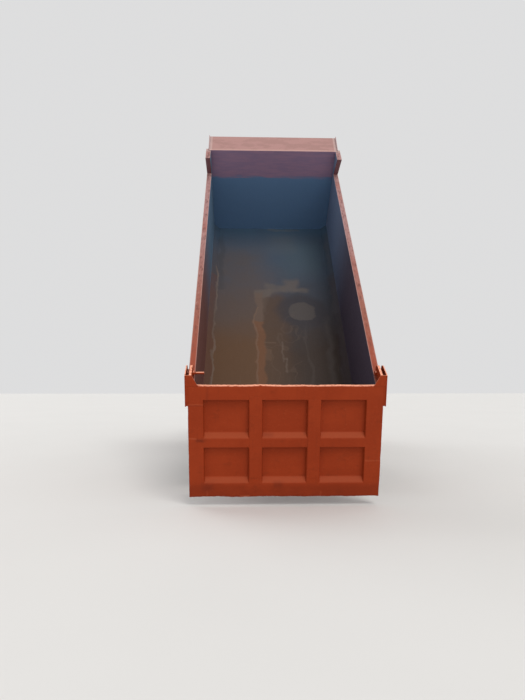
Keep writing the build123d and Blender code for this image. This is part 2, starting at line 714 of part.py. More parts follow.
# Mudguards over the rear wheels on arms from the frame, with flaps behind them
guard_x = (590, 1225)
guard_plate = 6
guard_top = 1195
guard_end = 640
guard_slope = 220
guard_foot = 900
guard_arm = 40
guard_arm_z = 930
flap_plate = 8
flap_z = (330, guard_foot + 5)
flap_inset = 10
first, last = rear_axle_back
crown = guard_end - guard_slope
guard_outline = [(first - guard_end, guard_foot), (first - crown, guard_top), (last + crown, guard_top),
                 (last + guard_end, guard_foot), (last + guard_end - guard_plate, guard_foot - 2),
                 (last + crown - 3, guard_top - guard_plate), (first - crown + 3, guard_top - guard_plate),
                 (first - guard_end + guard_plate, guard_foot - 2)]
sheet_back = guard_end - (guard_arm_z + guard_arm / 2 - guard_foot) / (guard_top - guard_foot) * guard_slope
with BuildPart(truck) as rear_mudguards:
    for xs in both(guard_x):
        prism(guard_outline, truck_side, xs)
    for back in (first - sheet_back, last + sheet_back):
        for xs in both((frame_half_width, guard_x[1] - 60)):
            block(xs, (back - guard_arm / 2, back + guard_arm / 2), (guard_arm_z, guard_arm_z + guard_arm))
    for xs in both((guard_x[0] + flap_inset, guard_x[1] - flap_inset)):
        block(xs, (last + guard_end - 1, last + guard_end + flap_plate), flap_z)
keep(rear_mudguards, "rear_mudguards")

# Rear bar with the lamp boards
bar_back = (rail_stretch[1] - 60, rail_stretch[1])
bar_half_width = 1120
bar_z = (470, 590)
board_top = 640
tail_lamp_x = (660, 1080)
tail_lamp_depth = 45
with BuildPart(truck) as rear_bar:
    block((-bar_half_width, bar_half_width), bar_back, bar_z)
    for xs in both((rail_inside, frame_half_width)):
        block(xs, bar_back, (bar_z[1], frame_bottom))
    for xs in both((bar_half_width / 2, bar_half_width)):
        block(xs, bar_back, (bar_z[1], board_top))
keep(rear_bar, "rear_bar")

with BuildPart(truck) as tail_lamps:
    for xs in both(tail_lamp_x):
        block(xs, (bar_back[1] + seat, bar_back[1] + tail_lamp_depth), (bar_z[0] + 5, bar_z[1] - 5))
keep(tail_lamps, "tail_lamps")

# Cab mounts on the frame: front hinge brackets and the rear cross-beam
cab_pivot_y = -1250
cab_pivot_z = 900
cab_pin_radius = 18
cab_arm_x = (250, 296)
mount_x = (cab_arm_x[1] + 4, cab_arm_x[1] + 34)
rear_mount_back = 470
mount_half = 40
mount_half_width = 600
mount_foot = frame_bottom + 40
mount_beam_z = 1080
# Outline of a hinge bracket: (from the cab's pivot, height above it)
hinge_bracket = [(-30, -10), (-26, 22), (26, 26), (120, 26), (160, 0), (160, mount_foot - cab_pivot_z),
                 (100, mount_foot - cab_pivot_z), (60, -35), (0, -35)]
with BuildPart(truck) as cab_mounts:
    for xs in both(mount_x):
        prism([(cab_pivot_y + back, cab_pivot_z + up) for back, up in hinge_bracket], truck_side, xs)
    block((-rail_inside, rail_inside), (cab_pivot_y + 105, cab_pivot_y + 155), (mount_foot, mount_foot + 70))
    for xs in both((cab_arm_x[0], mount_x[1])):
        rod(cab_pin_radius, truck_side, (cab_pivot_y, cab_pivot_z), xs)
    for xs in both((rail_inside, frame_half_width)):
        block(xs, (rear_mount_back - mount_half, rear_mount_back + mount_half), (frame_top, mount_beam_z))
    block((-mount_half_width, mount_half_width), (rear_mount_back - mount_half, rear_mount_back + mount_half),
          (mount_beam_z, cab_floor_height - seat))
keep(cab_mounts, "cab_mounts")

# Cab floor with its engine tunnel and the arms to the front hinge
tunnel_half_width = 400
tunnel_height = 270
tunnel_back = 250
tunnel_plate = 30
floor_front = cab_front + 60
tunnel_top = cab_floor_height + tunnel_height
# Outline of a hinge arm: (back, height)
arm_outline = [(cab_pivot_y - 29, cab_pivot_z - 8), (cab_pivot_y, cab_pivot_z - 32), (cab_pivot_y + 30, cab_pivot_z - 8),
               (cab_pivot_y + 80, cab_floor_height), (floor_front, cab_floor_height), (floor_front, cab_pivot_z + 29),
               (cab_pivot_y - 29, cab_pivot_z + 24)]
with BuildPart(truck) as cab_floor:
    block((-inside_x, inside_x), (floor_front, cab_back), (cab_floor_height, cab_floor_height + cab_floor_plate))
    block((-tunnel_half_width, tunnel_half_width), (floor_front, tunnel_back), (cab_floor_height, tunnel_top))
    block((-tunnel_half_width + tunnel_plate, tunnel_half_width - tunnel_plate), (floor_front + 200, tunnel_back - 30),
          (cab_floor_height - 1, tunnel_top - tunnel_plate), Mode.SUBTRACT)
    for xs in both(cab_arm_x):
        prism(arm_outline, truck_side, xs)
        rod(cab_pin_radius + running_fit, truck_side, (cab_pivot_y, cab_pivot_z), xs, Mode.SUBTRACT)
keep(cab_floor, "cab_floor")

# The cab's whole form with rounded edges, which its sides, front and roof are cut from
roof_plate = 50
screen_top = (-1102, roof_height - 188)
# Front of the roof from the windscreen up: (back, height)
brow = [(-1072, roof_height - 110), (-970, roof_height - 38), (-700, roof_height)]
brow_inside = [(-690, roof_height - roof_plate), (-940, roof_height - 88), (-1030, roof_height - 125)]
cab_outline = [(cab_front, sill_height), (cab_front, belt_height - 10), screen_top, *brow, (cab_back, roof_height),
               (cab_back, cab_floor_height), (floor_front, cab_floor_height), (floor_front, sill_height)]
with BuildPart(truck) as cab_form:
    prism(cab_outline, truck_side, (-cab_half_width, cab_half_width))
    outer = [edge for edge in cab_form.edges() if abs(abs(edge.center().X) - cab_half_width) < 1]
    lowest = cab_floor_height + 1
    fillet([edge for edge in outer if edge.center().Z > lowest], cab_rounding)

# Cab sides with the doors' openings and hinge knuckles
side_outline = cab_outline[:3] + [*reversed(brow_inside), (cab_back, roof_height - roof_plate), *cab_outline[7:]]
door_front = -1180
door_back = -60
door_bottom = cab_floor_height + 70
door_top = (roof_height - 250, roof_height - 210)
door_shoulder = -1010
door_outline = [(door_front, door_bottom), (door_front, belt_height - 10), (door_shoulder, door_top[0]),
                (door_back, door_top[1]), (door_back, door_bottom)]
hinge_x = cab_half_width + 14
hinge_spots = [1330, 1700]
hinge_radius = 13
hinge_pin = 6
hinge_leaf = 8
door_pin_back = door_front - 3
knuckle_height = 34
with BuildPart(truck) as cab_sides:
    for xs in both((inside_x, cab_half_width)):
        prism(side_outline, truck_side, xs)
        prism(door_outline, truck_side, xs, Mode.SUBTRACT)
    add(truck.to_local_coords(cab_form.part), mode=Mode.INTERSECT)
    for sign in sides:
        for z in hinge_spots:
            for low in (z - knuckle_height, z + knuckle_height + 1):
                leaf_z = (low, low + knuckle_height - 1)
                block(facing(sign, cab_half_width, cab_half_width + hinge_leaf), (door_front - 75, door_front - 12), leaf_z)
                block(facing(sign, cab_half_width, hinge_x + 3), (door_front - 20, door_front - 10), leaf_z)
                post(hinge_radius, (sign * hinge_x, door_pin_back, low), knuckle_height - 1)
            post(hinge_pin, (sign * hinge_x, door_pin_back, z - knuckle_height), 3 * knuckle_height)
keep(cab_sides, "cab_sides")

# Cab front wall behind the service panel, back wall and roof with its sun visor
front_wall = 25
front_wall_bottom = sill_height + 30
panel_gap = 6
panel_x = inside_x - panel_gap
panel_top = belt_height - 50
panel_bottom = sill_height + 10
panel_plate = 30
panel_hinge_x = (-700, 700)
panel_knuckle = 30
panel_bracket = 62
panel_eye = 12
panel_pin = 6
panel_pin_y = cab_front - 8
panel_pin_z = panel_top + 18
cowl_z = (belt_height - 40, belt_height - 10)
back_wall = 60
rear_window_x = 480
rear_window_z = (cab_floor_height + 890, cab_floor_height + 1350)
with BuildPart(truck) as cab_front_wall:
    block((-inside_x, inside_x), (floor_front - front_wall, floor_front), (front_wall_bottom, cowl_z[0]))
    block((-inside_x, inside_x), (cab_front + 12, floor_front), cowl_z)
    for x in panel_hinge_x:
        for xs in ((x - panel_bracket, x - panel_knuckle - 1), (x + panel_knuckle + 1, x + panel_bracket)):
            block(xs, (panel_pin_y - 4, cab_front + 12), (panel_pin_z - 8, panel_pin_z + 8))
            rod(panel_eye, truck_side, (panel_pin_y, panel_pin_z), xs)
        rod(panel_pin, truck_side, (panel_pin_y, panel_pin_z), (x - panel_bracket, x + panel_bracket))
keep(cab_front_wall, "cab_front_wall")

with BuildPart(truck) as cab_back_wall:
    block((-inside_x, inside_x), (cab_back - back_wall, cab_back), (cab_floor_height + cab_floor_plate, roof_height - roof_plate))
    block((-rear_window_x, rear_window_x), (cab_back - back_wall - 1, cab_back + 1), rear_window_z, Mode.SUBTRACT)
keep(cab_back_wall, "cab_back_wall")

sun_visor_half_width = 1080
sun_visor_plate = 10
# Section of the sun visor's sheet, upper side: (back, height)
sun_visor = [(-1078, roof_height - 118), (-1230, roof_height - 205), (-1318, roof_height - 275)]
with BuildPart(truck) as cab_roof:
    prism([screen_top, *brow, (cab_back, roof_height), (cab_back, roof_height - roof_plate), *brow_inside], truck_side,
          (-cab_half_width, cab_half_width))
    add(truck.to_local_coords(cab_form.part), mode=Mode.INTERSECT)
    lower = [(back, up - sun_visor_plate) for back, up in reversed(sun_visor)]
    prism(sun_visor + lower, truck_side, (-sun_visor_half_width, sun_visor_half_width))
    for xs in both((sun_visor_half_width - 12, sun_visor_half_width)):
        prism(sun_visor + [(-1100, roof_height - 185)], truck_side, xs)
keep(cab_roof, "cab_roof")

# Glass: windscreen and rear window
glass = 8
screen_foot = belt_height - 9
with BuildPart(truck) as cab_glass:
    prism([(cab_front + 6, screen_foot), (screen_top[0] + 6, screen_top[1]), (screen_top[0] + 16, screen_top[1]),
           (cab_front + 16, screen_foot)], truck_side, (-inside_x + seat, inside_x - seat))
    block((-rear_window_x + seat, rear_window_x - seat), (cab_back - 34, cab_back - 34 + glass),
          (rear_window_z[0] + seat, rear_window_z[1] - seat))
keep(cab_glass, "cab_glass")

# Step boxes ahead of the front wheels and mudguards over them, on brackets from the frame
arch_in = 880
arch_out = 1165
arch_reach = 690
arch_top = 1130
arch_plate = 14
step_front = -1200
step_bottom = 480
step_top = cab_floor_height - 12
step_wells = [540, 830]
step_rise = 230
# Outer skin of box and mudguard from the front up and over the wheel: (back, height)
arch_outer = [(step_front, step_bottom), (step_front, step_top), (-450, step_top), (-450, arch_top + arch_plate),
              (490, arch_top + arch_plate), (arch_reach + arch_plate, 910), (arch_reach + arch_plate, 650)]
arch_inner = [(arch_reach, 650), (arch_reach, 905), (485, arch_top), (-450, arch_top), (-arch_reach, 900),
              (-arch_reach, step_bottom)]
with BuildPart(truck) as front_steps:
    for xs in both((arch_in, arch_out)):
        prism(arch_outer + arch_inner, truck_side, xs)
    for xs in both((arch_in + 130, arch_out + 1)):
        for low in step_wells:
            block(xs, (step_front + 60, -arch_reach - 60), (low, low + step_rise), Mode.SUBTRACT)
    for xs in both((frame_half_width, arch_in)):
        block(xs, (-1080, -1000), (760, 830))
    for xs in both((frame_half_width, arch_in + 60)):
        block(xs, (arch_reach - 10, arch_reach + 50), (700, 740))
keep(front_steps, "front_steps")

# Service panel with its grille, hung from its top edge
grille_half_width = 640
grille_rows = [1100, 1180, 1260, 1340, 1420, 1500]
grille_slot = 48
grille_bar = 32
grille_proud = 14
grille_frame = 24
grille_z = (grille_rows[0] - grille_bar, grille_rows[-1] + grille_slot + grille_bar)
with BuildPart(truck) as front_panel:
    block((-panel_x, panel_x), (cab_front, cab_front + panel_plate), (panel_bottom, panel_top - 8))
    for z in grille_rows:
        block((-grille_half_width, grille_half_width), (cab_front - grille_proud, cab_front), (z - grille_bar, z))
    block((-grille_half_width, grille_half_width), (cab_front - grille_proud, cab_front),
          (grille_z[1] - grille_bar, grille_z[1]))
    for xs in both((grille_half_width, grille_half_width + grille_frame)):
        block(xs, (cab_front - grille_proud, cab_front), grille_z)
    for z in grille_rows:
        block((-grille_half_width, grille_half_width), (cab_front - 1, cab_front + panel_plate + 1),
              (z, z + grille_slot), Mode.SUBTRACT)
    for x in panel_hinge_x:
        xs = (x - panel_knuckle, x + panel_knuckle)
        block(xs, (cab_front - 12, cab_front), (panel_top - 60, panel_pin_z))
        rod(panel_eye, truck_side, (panel_pin_y, panel_pin_z), xs)
        rod(panel_pin + running_fit, truck_side, (panel_pin_y, panel_pin_z), xs, Mode.SUBTRACT)
keep(front_panel, "front_panel")

# Doors with their window openings and hinge knuckles
door_gap = 7
window = [(-1100, belt_height + 80), (-975, roof_height - 340), (-150, roof_height - 305), (-150, belt_height + 80)]
pane_x = (cab_half_width - 34, cab_half_width - 28)
door_inner = [(door_front + door_gap, door_bottom + door_gap), (door_front + door_gap, belt_height - 11),
              (door_shoulder + door_gap, door_top[0] - door_gap), (door_back - door_gap, door_top[1] - door_gap),
              (door_back - door_gap, door_bottom + door_gap)]
pane = [(window[0][0] + seat, window[0][1] + seat), (window[1][0] + seat, window[1][1] - seat),
        (window[2][0] - seat, window[2][1] - seat), (window[3][0] - seat, window[3][1] + seat)]
for sign, hand in sides.items():
    with BuildPart(truck) as door:
        prism(door_inner, truck_side, facing(sign, inside_x, cab_half_width))
        prism(window, truck_side, facing(sign, inside_x, cab_half_width), Mode.SUBTRACT)
        for z in hinge_spots:
            leaf_z = (z + 0.5, z + knuckle_height + 0.5)
            block(facing(sign, cab_half_width, cab_half_width + hinge_leaf), (door_front + 9, door_front + 75), leaf_z)
            block(facing(sign, cab_half_width, hinge_x + 3), (door_front + 5, door_front + 12), leaf_z)
            post(hinge_radius, (sign * hinge_x, door_pin_back, leaf_z[0]), knuckle_height)
        for z in hinge_spots:
            post(hinge_pin + running_fit, (sign * hinge_x, door_pin_back, z), knuckle_height + 1, Mode.SUBTRACT)
    keep(door, "door_" + hand)
    with BuildPart(truck) as door_glass:
        prism(pane, truck_side, facing(sign, *pane_x))
    keep(door_glass, "door_glass_" + hand)

# Inside the cab: dashboard, seats and steering wheel
wheel_spot = (700, -640, belt_height + 130)
wheel_lean = 35
wheel_radius = 225
wheel_rim_radius = 16
column_radius = 28
column_length = 420
# Outline of the dashboard: (back, height)
dash_outline = [(floor_front, belt_height - 300), (floor_front, belt_height - 10), (-1150, belt_height + 40),
                (-900, belt_height + 30), (-860, belt_height - 40), (-900, belt_height - 300), (-1000, belt_height - 350)]
with BuildPart(truck) as dashboard:
    prism(dash_outline, truck_side, (-inside_x + 40, inside_x - 40))
    with Locations(Location(wheel_spot, (-wheel_lean, 0, 0))):
        Cylinder(column_radius + seat, column_length + seat, align=(Align.CENTER, Align.CENTER, Align.MAX),
                 mode=Mode.SUBTRACT)
keep(dashboard, "dashboard")

seat_x = (440, 960)
seat_foot = cab_floor_height + cab_floor_plate + seat
cushion_bottom = cab_floor_height + 310
# Cushion with its back, and the head rest: (back, height above the cushion's underside)
seat_outline = [(-560, 0), (-570, 120), (-100, 120), (30, 670), (120, 650), (10, 80), (-60, 0)]
rest_outline = [(22, 670), (60, 850), (130, 840), (112, 650)]
with BuildPart(truck) as seats:
    for xs in both(seat_x):
        block((xs[0] + 60, xs[1] - 60), (-460, -120), (seat_foot, cushion_bottom))
        prism([(back, cushion_bottom + up) for back, up in seat_outline], truck_side, xs)
        prism([(back, cushion_bottom + up) for back, up in rest_outline], truck_side, (xs[0] + 120, xs[1] - 120))
keep(seats, "seats")

with BuildPart(truck) as steering_wheel:
    with Locations(Location(wheel_spot, (-wheel_lean, 0, 0))):
        Torus(wheel_radius, wheel_rim_radius)
        Box(2 * wheel_radius - 10, 40, 18)
        Cylinder(60, 40)
        Cylinder(column_radius, column_length, align=(Align.CENTER, Align.CENTER, Align.MAX))
keep(steering_wheel, "steering_wheel")

# Mirrors on arms from the front posts
mirror_arm = 25
mirror_arm_back = (-1245, -1215)
mirror_arm_z = 1600
mirror_post_x = (1280, 1300)
mirror_head_x = (1275, 1465)
mirror_head_back = (-1270, -1205)
mirror_head_z = (belt_height + 60, belt_height + 470)
mirror_rounding = 24
with BuildPart(truck) as mirrors:
    for sign in sides:
        block(facing(sign, *mirror_head_x), mirror_head_back, mirror_head_z)
    fillet(mirrors.edges().filter_by(Axis.Y), mirror_rounding)
    for sign in sides:
        block(facing(sign, cab_half_width, mirror_post_x[1]), mirror_arm_back, (mirror_arm_z, mirror_arm_z + mirror_arm))
        block(facing(sign, *mirror_post_x), mirror_arm_back, (mirror_arm_z, mirror_head_z[1] + 90))
keep(mirrors, "mirrors")

# Bed floor: plate, sills, cross-members, corner strips, rear beam, pivot lugs and latch hooks
sill_bottom = floor_under - sill_depth
cross_depth = 120
bed_cross_first = 120
bed_cross_step = 500
bed_cross_count = 10
bed_cross_width = 80
corner_strip = 110
lug_x = (300, rail_inside)
lug_ring = 75
rear_beam = 90
hook_x = (900, 960)
# Outline of a pivot lug, and of a latch hook behind the rear beam: (back, up)
lug_outline = [(-160, floor_under), (-160, 60), (-60, -45), (0, -lug_ring), (60, -45), (lug_ring, 0), (110, 120),
               (110, floor_under)]
hook_outline = [(560, beam_bottom), (560, 60), (600, 20), (640, 40), (620, 80), (640, beam_bottom)]
with BuildPart(bed) as bed_floor:
    block((-bed_half_inside, bed_half_inside), (-headboard_back, bed_overhang), (floor_under, floor_top))
    for xs in both((rail_inside, frame_half_width)):
        block((xs[0], xs[1]), (-floor_end, bed_overhang), (sill_bottom, floor_under))
    for row in range(bed_cross_count):
        back = bed_cross_first - row * bed_cross_step
        block((-bed_half_inside, bed_half_inside), (back, back + bed_cross_width), (floor_under - cross_depth, floor_under))
    block((-bed_half_inside, bed_half_inside), (bed_overhang - rear_beam, bed_overhang), (beam_bottom, floor_under))
    for sign in sides:
        with BuildSketch(Plane(origin=bed.from_local_coords((0, bed_overhang, 0)), x_dir=(1, 0, 0), z_dir=bed.y_dir)):
            edge = sign * bed_half_inside
            with BuildLine():
                Polyline((edge, -floor_top), (edge - sign * corner_strip, -floor_top),
                         (edge, -floor_top - corner_strip), close=True)
            make_face()
        extrude(amount=-bed_overhang - headboard_back)
    for xs in both(lug_x):
        prism(lug_outline, bed_side, xs)
        rod(pivot_radius + running_fit, bed_side, (0, 0), xs, Mode.SUBTRACT)
    for xs in both(hook_x):
        prism(hook_outline, bed_side, xs)
keep(bed_floor, "bed_floor")

# Bed sides: sheet, rails, posts, outside ribs, the raised front corner and the lug of the tailgate
corner_base = headboard_back - 68
corner_tip = headboard_back - 267
rib_first = -220
rib_step = 760
rib_count = 6
rib_width = 130
rib_crown = 70
rib_inset = 8
lower_rail = 110
front_post = 120
rear_post = 150
gate_lug_x = (side_out - 30, side_out)
gate_lug_radius = 50
gate_lug_rise = 38
gate_pin_radius = 30
wall_outline = [(bed_overhang, floor_under), (bed_overhang, rail_top), (-corner_base, rail_top),
                (-corner_tip, headboard_top), (-floor_end, headboard_top), (-floor_end, floor_under)]
corner_outline = [(-corner_base, rail_top - rail_depth), (-corner_base, rail_top), (-corner_tip, headboard_top),
                  (-floor_end, headboard_top), (-floor_end, rail_top - rail_depth)]
gate_lug_outline = [(gate_hinge_back - 110, rail_top), (gate_hinge_back - 35, gate_hinge_up + gate_lug_rise),
                    (gate_hinge_back + 35, gate_hinge_up + gate_lug_rise),
                    (gate_hinge_back + gate_lug_radius, gate_hinge_up), (gate_hinge_back + 60, rail_top)]
for sign, hand in sides.items():
    with BuildPart(bed) as bed_side_wall:
        deep = facing(sign, bed_half_inside, side_out)
        prism(wall_outline, bed_side, facing(sign, bed_half_inside, bed_half_inside + wall_plate))
        block(deep, (-corner_base, bed_overhang), (rail_top - rail_depth, rail_top))
        block(deep, (-floor_end, bed_overhang), (floor_under, floor_top + lower_rail))
        block(deep, (bed_overhang - rear_post, bed_overhang), (floor_top, rail_top))
        block(deep, (-floor_end, -floor_end + front_post), (floor_top, rail_top))
        prism(corner_outline, bed_side, deep)
        for row in range(rib_count):
            back = rib_first - row * rib_step
            slope = (rib_width - rib_crown) / 2
            with BuildSketch(bed.offset(floor_top)):
                near = sign * bed_half_inside
                far = sign * (side_out - rib_inset)
                with BuildLine():
                    Polyline((near, back), (far, back + slope), (far, back + slope + rib_crown), (near, back + rib_width),
                             close=True)
                make_face()
            extrude(amount=bed_depth - rail_depth + 1)
        prism(gate_lug_outline, bed_side, facing(sign, *gate_lug_x))
        rod(gate_pin_radius + running_fit, bed_side, (gate_hinge_back, gate_hinge_up), facing(sign, *gate_lug_x),
            Mode.SUBTRACT)
    keep(bed_side_wall, "bed_side_" + hand)

# Headboard: plate, outside ribs and bars, and the two lugs that take the hoist's eye
lug_gap = 5
lug_plate = 25
eye_lug = (eye_width / 2 + lug_gap, eye_width / 2 + lug_gap + lug_plate)
pin_head = 18
pin_head_radius = 40
head_rib_x = [-890, -500, -140, 140, 500, 890]
head_rib = 120
head_bars = [floor_under, 1500, headboard_top - 80]
head_bar = 80
pad_plate = 12
pad_half_width = 320
pad_up = (900, 1450)
rib_faces = (-floor_end, -headboard_back - headboard_plate)
lug_root = -floor_end - pad_plate
# Outline of an eye lug from the pad on the headboard round its nose: (from the eye, above the eye)
nose = [(20, 62), (-45, 45), (-62, 0), (-45, -45), (20, -62), (150, -62)]
with BuildPart(bed) as headboard:
    block((-bed_half_inside, bed_half_inside), (rib_faces[1], -headboard_back), (floor_under, headboard_top))
    for x in head_rib_x:
        block((x - head_rib / 2, x + head_rib / 2), rib_faces, (floor_under, headboard_top))
    for up in head_bars:
        block((-bed_half_inside, bed_half_inside), rib_faces, (up, up + head_bar))
    block((-pad_half_width, pad_half_width), (lug_root, rib_faces[0]), pad_up)
    for xs in both(eye_lug):
        prism([(lug_root, pad_up[0]), (lug_root, pad_up[1] - 50)] +
              [(-hoist_ahead_of_pivot + back, eye_up + up) for back, up in nose], bed_side, xs)
    for xs in both((eye_lug[1], eye_lug[1] + pin_head)):
        rod(pin_head_radius, bed_side, (-hoist_ahead_of_pivot, eye_up), xs)
keep(headboard, "headboard")

# Cab guard: a plate forward from the headboard's top with side lips, a front lip and braces
visor_run = visor_length * cos(radians(visor_rise))
visor_climb = visor_length * sin(radians(visor_rise))
visor_end = (-headboard_back - visor_run, headboard_top + visor_climb)
visor_lip = 42
visor_side = 12
brace_x = [-700, 0, 700]
brace_plate = 10
brace_drop = 170
brace_foot = -floor_end - seat
with BuildPart(bed) as cab_guard:
    prism([(-headboard_back, headboard_top + seat), visor_end, (visor_end[0], visor_end[1] + visor_plate),
           (-headboard_back, headboard_top + seat + visor_plate)], bed_side, (-visor_half_width, visor_half_width))
    for xs in both((visor_half_width - visor_side, visor_half_width)):
        prism([(-headboard_back - 20, headboard_top + 4), visor_end, (visor_end[0], visor_end[1] + visor_lip),
               (-headboard_back - 20, headboard_top + 34)], bed_side, xs)
    block((-visor_half_width, visor_half_width), (visor_end[0] - visor_side, visor_end[0]),
          (visor_end[1] - 40, visor_end[1] + visor_plate))
    for x in brace_x:
        prism([(brace_foot, headboard_top - 10), (brace_foot, headboard_top - brace_drop),
               (visor_end[0] + 20, visor_end[1] - 10), (visor_end[0] + 20, visor_end[1] + 1),
               (brace_foot, headboard_top + 8)], bed_side, (x - brace_plate / 2, x + brace_plate / 2))
keep(cab_guard, "cab_guard")

# Tailgate: sheet with a grid of box ribs, the forked arms to its hinge and the hinge pins
gate_stiles = (190, 210)
gate_upright = 166
gate_columns = 3
# Rows of recesses: (down from the gate's top, height of the flat, height of the sloped ledge)
gate_rows = [(190, 430, 65), (809, 406, 70)]
rib_draft = 12
recess_width = (2 * gate_half_width - sum(gate_stiles) - (gate_columns - 1) * gate_upright) / gate_columns
fork_outer_x = (side_out + gate_gap, side_out + gate_gap + 14)
fork_inner_x = (gate_lug_x[0] - gate_gap - 30, gate_lug_x[0] - gate_gap)
fork_radius = 48
fork_foot = gate_top - 270
fork_web = 14
pin_tail = 140
# Front edge of both fork plates, from the top down to the back: (back, up)
fork_head = [(30, 100), (-40, 80), (-fork_radius, 0), (-20, -44), (40, -fork_radius + 10)]
outer_fork = [(gate_outer, fork_shoulder), *fork_head, (gate_inner, gate_top - 40), (gate_inner + 20, fork_foot),
              (gate_outer, fork_foot)]
inner_fork = [(gate_outer, fork_shoulder), *fork_head, (gate_inner, -50), (gate_inner, gate_top), (gate_outer, gate_top)]
# Web across the fork and its gusset on the gate's shoulder: (out from the middle, up)
fork_web_outline = [(fork_outer_x[1], gate_top - 10), (fork_outer_x[1], fork_shoulder), (fork_inner_x[0], fork_shoulder),
                    (fork_inner_x[0] - 15, 0), (fork_inner_x[0] - 80, gate_top), (fork_inner_x[0] - 80, gate_top - 10)]
gate_face = Plane(origin=gate.from_local_coords((0, gate_outer, 0)), x_dir=(1, 0, 0), z_dir=-gate.y_dir)
with BuildPart(gate) as tailgate:
    block((-gate_half_width, gate_half_width), (gate_inner, gate_outer), (gate_bottom, gate_top))
    for column in range(gate_columns):
        for down, flat, ledge in gate_rows:
            low_x = -gate_half_width + gate_stiles[1] + column * (recess_width + gate_upright)
            middle_x = low_x + recess_width / 2
            high_z = gate_top - down
            with BuildSketch(gate_face):
                with Locations((middle_x, high_z - (flat + ledge) / 2)):
                    Rectangle(recess_width, flat + ledge)
            with BuildSketch(gate_face.offset(gate_rib)):
                with Locations((middle_x, high_z - flat / 2)):
                    Rectangle(recess_width - 2 * rib_draft, flat)
            loft(mode=Mode.SUBTRACT)
    for sign in (1, -1):
        with BuildSketch(gate_face) as web:
            with BuildLine():
                Polyline(*[(sign * out, up) for out, up in fork_web_outline], close=True)
            make_face()
        extrude(web.sketch, amount=fork_web)
    for xs in both(fork_outer_x):
        prism(outer_fork, gate_side, xs)
    for xs in both((gate_half_width, fork_outer_x[0])):
        block(xs, (gate_inner + 20, gate_outer), (fork_foot, gate_top - 40))
    for xs in both(fork_inner_x):
        prism(inner_fork, gate_side, xs)
    for xs in both((fork_inner_x[0], fork_outer_x[1])):
        rod(gate_pin_radius, gate_side, (0, 0), xs)
    rod(gate_pin_radius, gate_side, (0, 0), (fork_inner_x[0] - pin_tail, fork_inner_x[0]))
keep(tailgate, "tailgate")

# Hoist, drawn out: a barrel on its trunnions, tube stages and the rod with its eye
trunnion_ring = 55
barrel_floor = 12
collar_height = 60
collar_proud = 9
gland_height = 22
gland_gap = 0.5
trunnion_seat = 3
trunnion_root = 12
bottoms = [-barrel_below + row * (stage_stroke + stage_step) for row in range(len(stage_radii))]


def tube(bottom, radius, bore, floor):
    """Tube with a closed bottom, a wide bore and a close gland at its mouth."""
    post(radius, (0, 0, bottom), stage_length)
    post(bore + stage_gap, (0, 0, bottom + floor), stage_length, Mode.SUBTRACT)
    post(radius, (0, 0, bottom + stage_length - gland_height), gland_height)
    post(bore + gland_gap, (0, 0, bottom + stage_length - gland_height), gland_height, Mode.SUBTRACT)


with BuildPart(hoist) as hoist_barrel:
    post(stage_radii[0] + collar_proud, (0, 0, stage_length - barrel_below - collar_height), collar_height)
    rod(trunnion_ring, hoist_side, (0, 0), (-cradle_plate_x[0] + trunnion_seat, cradle_plate_x[0] - trunnion_seat))
    tube(bottoms[0], stage_radii[0], stage_radii[1], barrel_floor)
    for xs in both((stage_radii[0] - trunnion_root, cradle_plate_x[1])):
        rod(trunnion_pin_radius, hoist_side, (0, 0), xs)
keep(hoist_barrel, "hoist_barrel")

for row in range(1, len(stage_radii) - 1):
    with BuildPart(hoist) as hoist_stage:
        tube(bottoms[row], stage_radii[row], stage_radii[row + 1], stage_wall)
    keep(hoist_stage, "hoist_stage_%d" % row)

with BuildPart(hoist) as hoist_rod:
    post(stage_radii[-1], (0, 0, bottoms[-1]), hoist_long - bottoms[-1] - 20)
    rod(eye_radius, hoist_side, (0, hoist_long), (-eye_width / 2, eye_width / 2))
keep(hoist_rod, "hoist_rod")
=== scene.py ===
import bmesh
import bpy
import json
from math import atan2, cos, exp, pi, radians, sin
from mathutils import Matrix, Vector, noise


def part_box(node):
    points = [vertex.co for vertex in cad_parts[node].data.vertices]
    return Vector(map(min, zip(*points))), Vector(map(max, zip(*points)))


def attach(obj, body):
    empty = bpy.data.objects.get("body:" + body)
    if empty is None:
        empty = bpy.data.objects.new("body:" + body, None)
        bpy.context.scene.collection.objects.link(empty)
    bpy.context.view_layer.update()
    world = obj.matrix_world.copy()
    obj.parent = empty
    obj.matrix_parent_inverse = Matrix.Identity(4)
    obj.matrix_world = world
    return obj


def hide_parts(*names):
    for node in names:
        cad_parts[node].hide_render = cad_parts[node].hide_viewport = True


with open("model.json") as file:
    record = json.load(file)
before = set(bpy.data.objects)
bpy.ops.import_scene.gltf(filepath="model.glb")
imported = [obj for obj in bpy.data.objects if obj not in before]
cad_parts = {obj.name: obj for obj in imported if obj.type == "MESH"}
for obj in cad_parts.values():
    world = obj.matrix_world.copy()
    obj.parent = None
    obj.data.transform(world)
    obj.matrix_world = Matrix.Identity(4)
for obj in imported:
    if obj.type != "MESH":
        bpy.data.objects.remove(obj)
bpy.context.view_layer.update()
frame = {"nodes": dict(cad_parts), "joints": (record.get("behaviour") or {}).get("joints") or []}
scene = bpy.context.scene

# Places, read from the frame
joints = {joint["name"]: joint for joint in frame["joints"]}


def joint_at(name):
    return Vector(joints[name]["pos_m"])


def leaning(lean, origin):
    """Matrix of a frame whose Y runs backward and Z up, leaned back by an angle."""
    columns = Matrix(((1, 0, 0), (0, cos(lean), sin(lean)), (0, -sin(lean), cos(lean))))
    return Matrix.Translation(origin) @ columns.to_4x4()


bed_lean = radians(joints["bed_tilt"]["range_deg"][1])
gate_lean = bed_lean + radians(joints["gate_swing"]["range_deg"][0])
hoist_axis = Vector(joints["stage_1_slide"]["axis"])
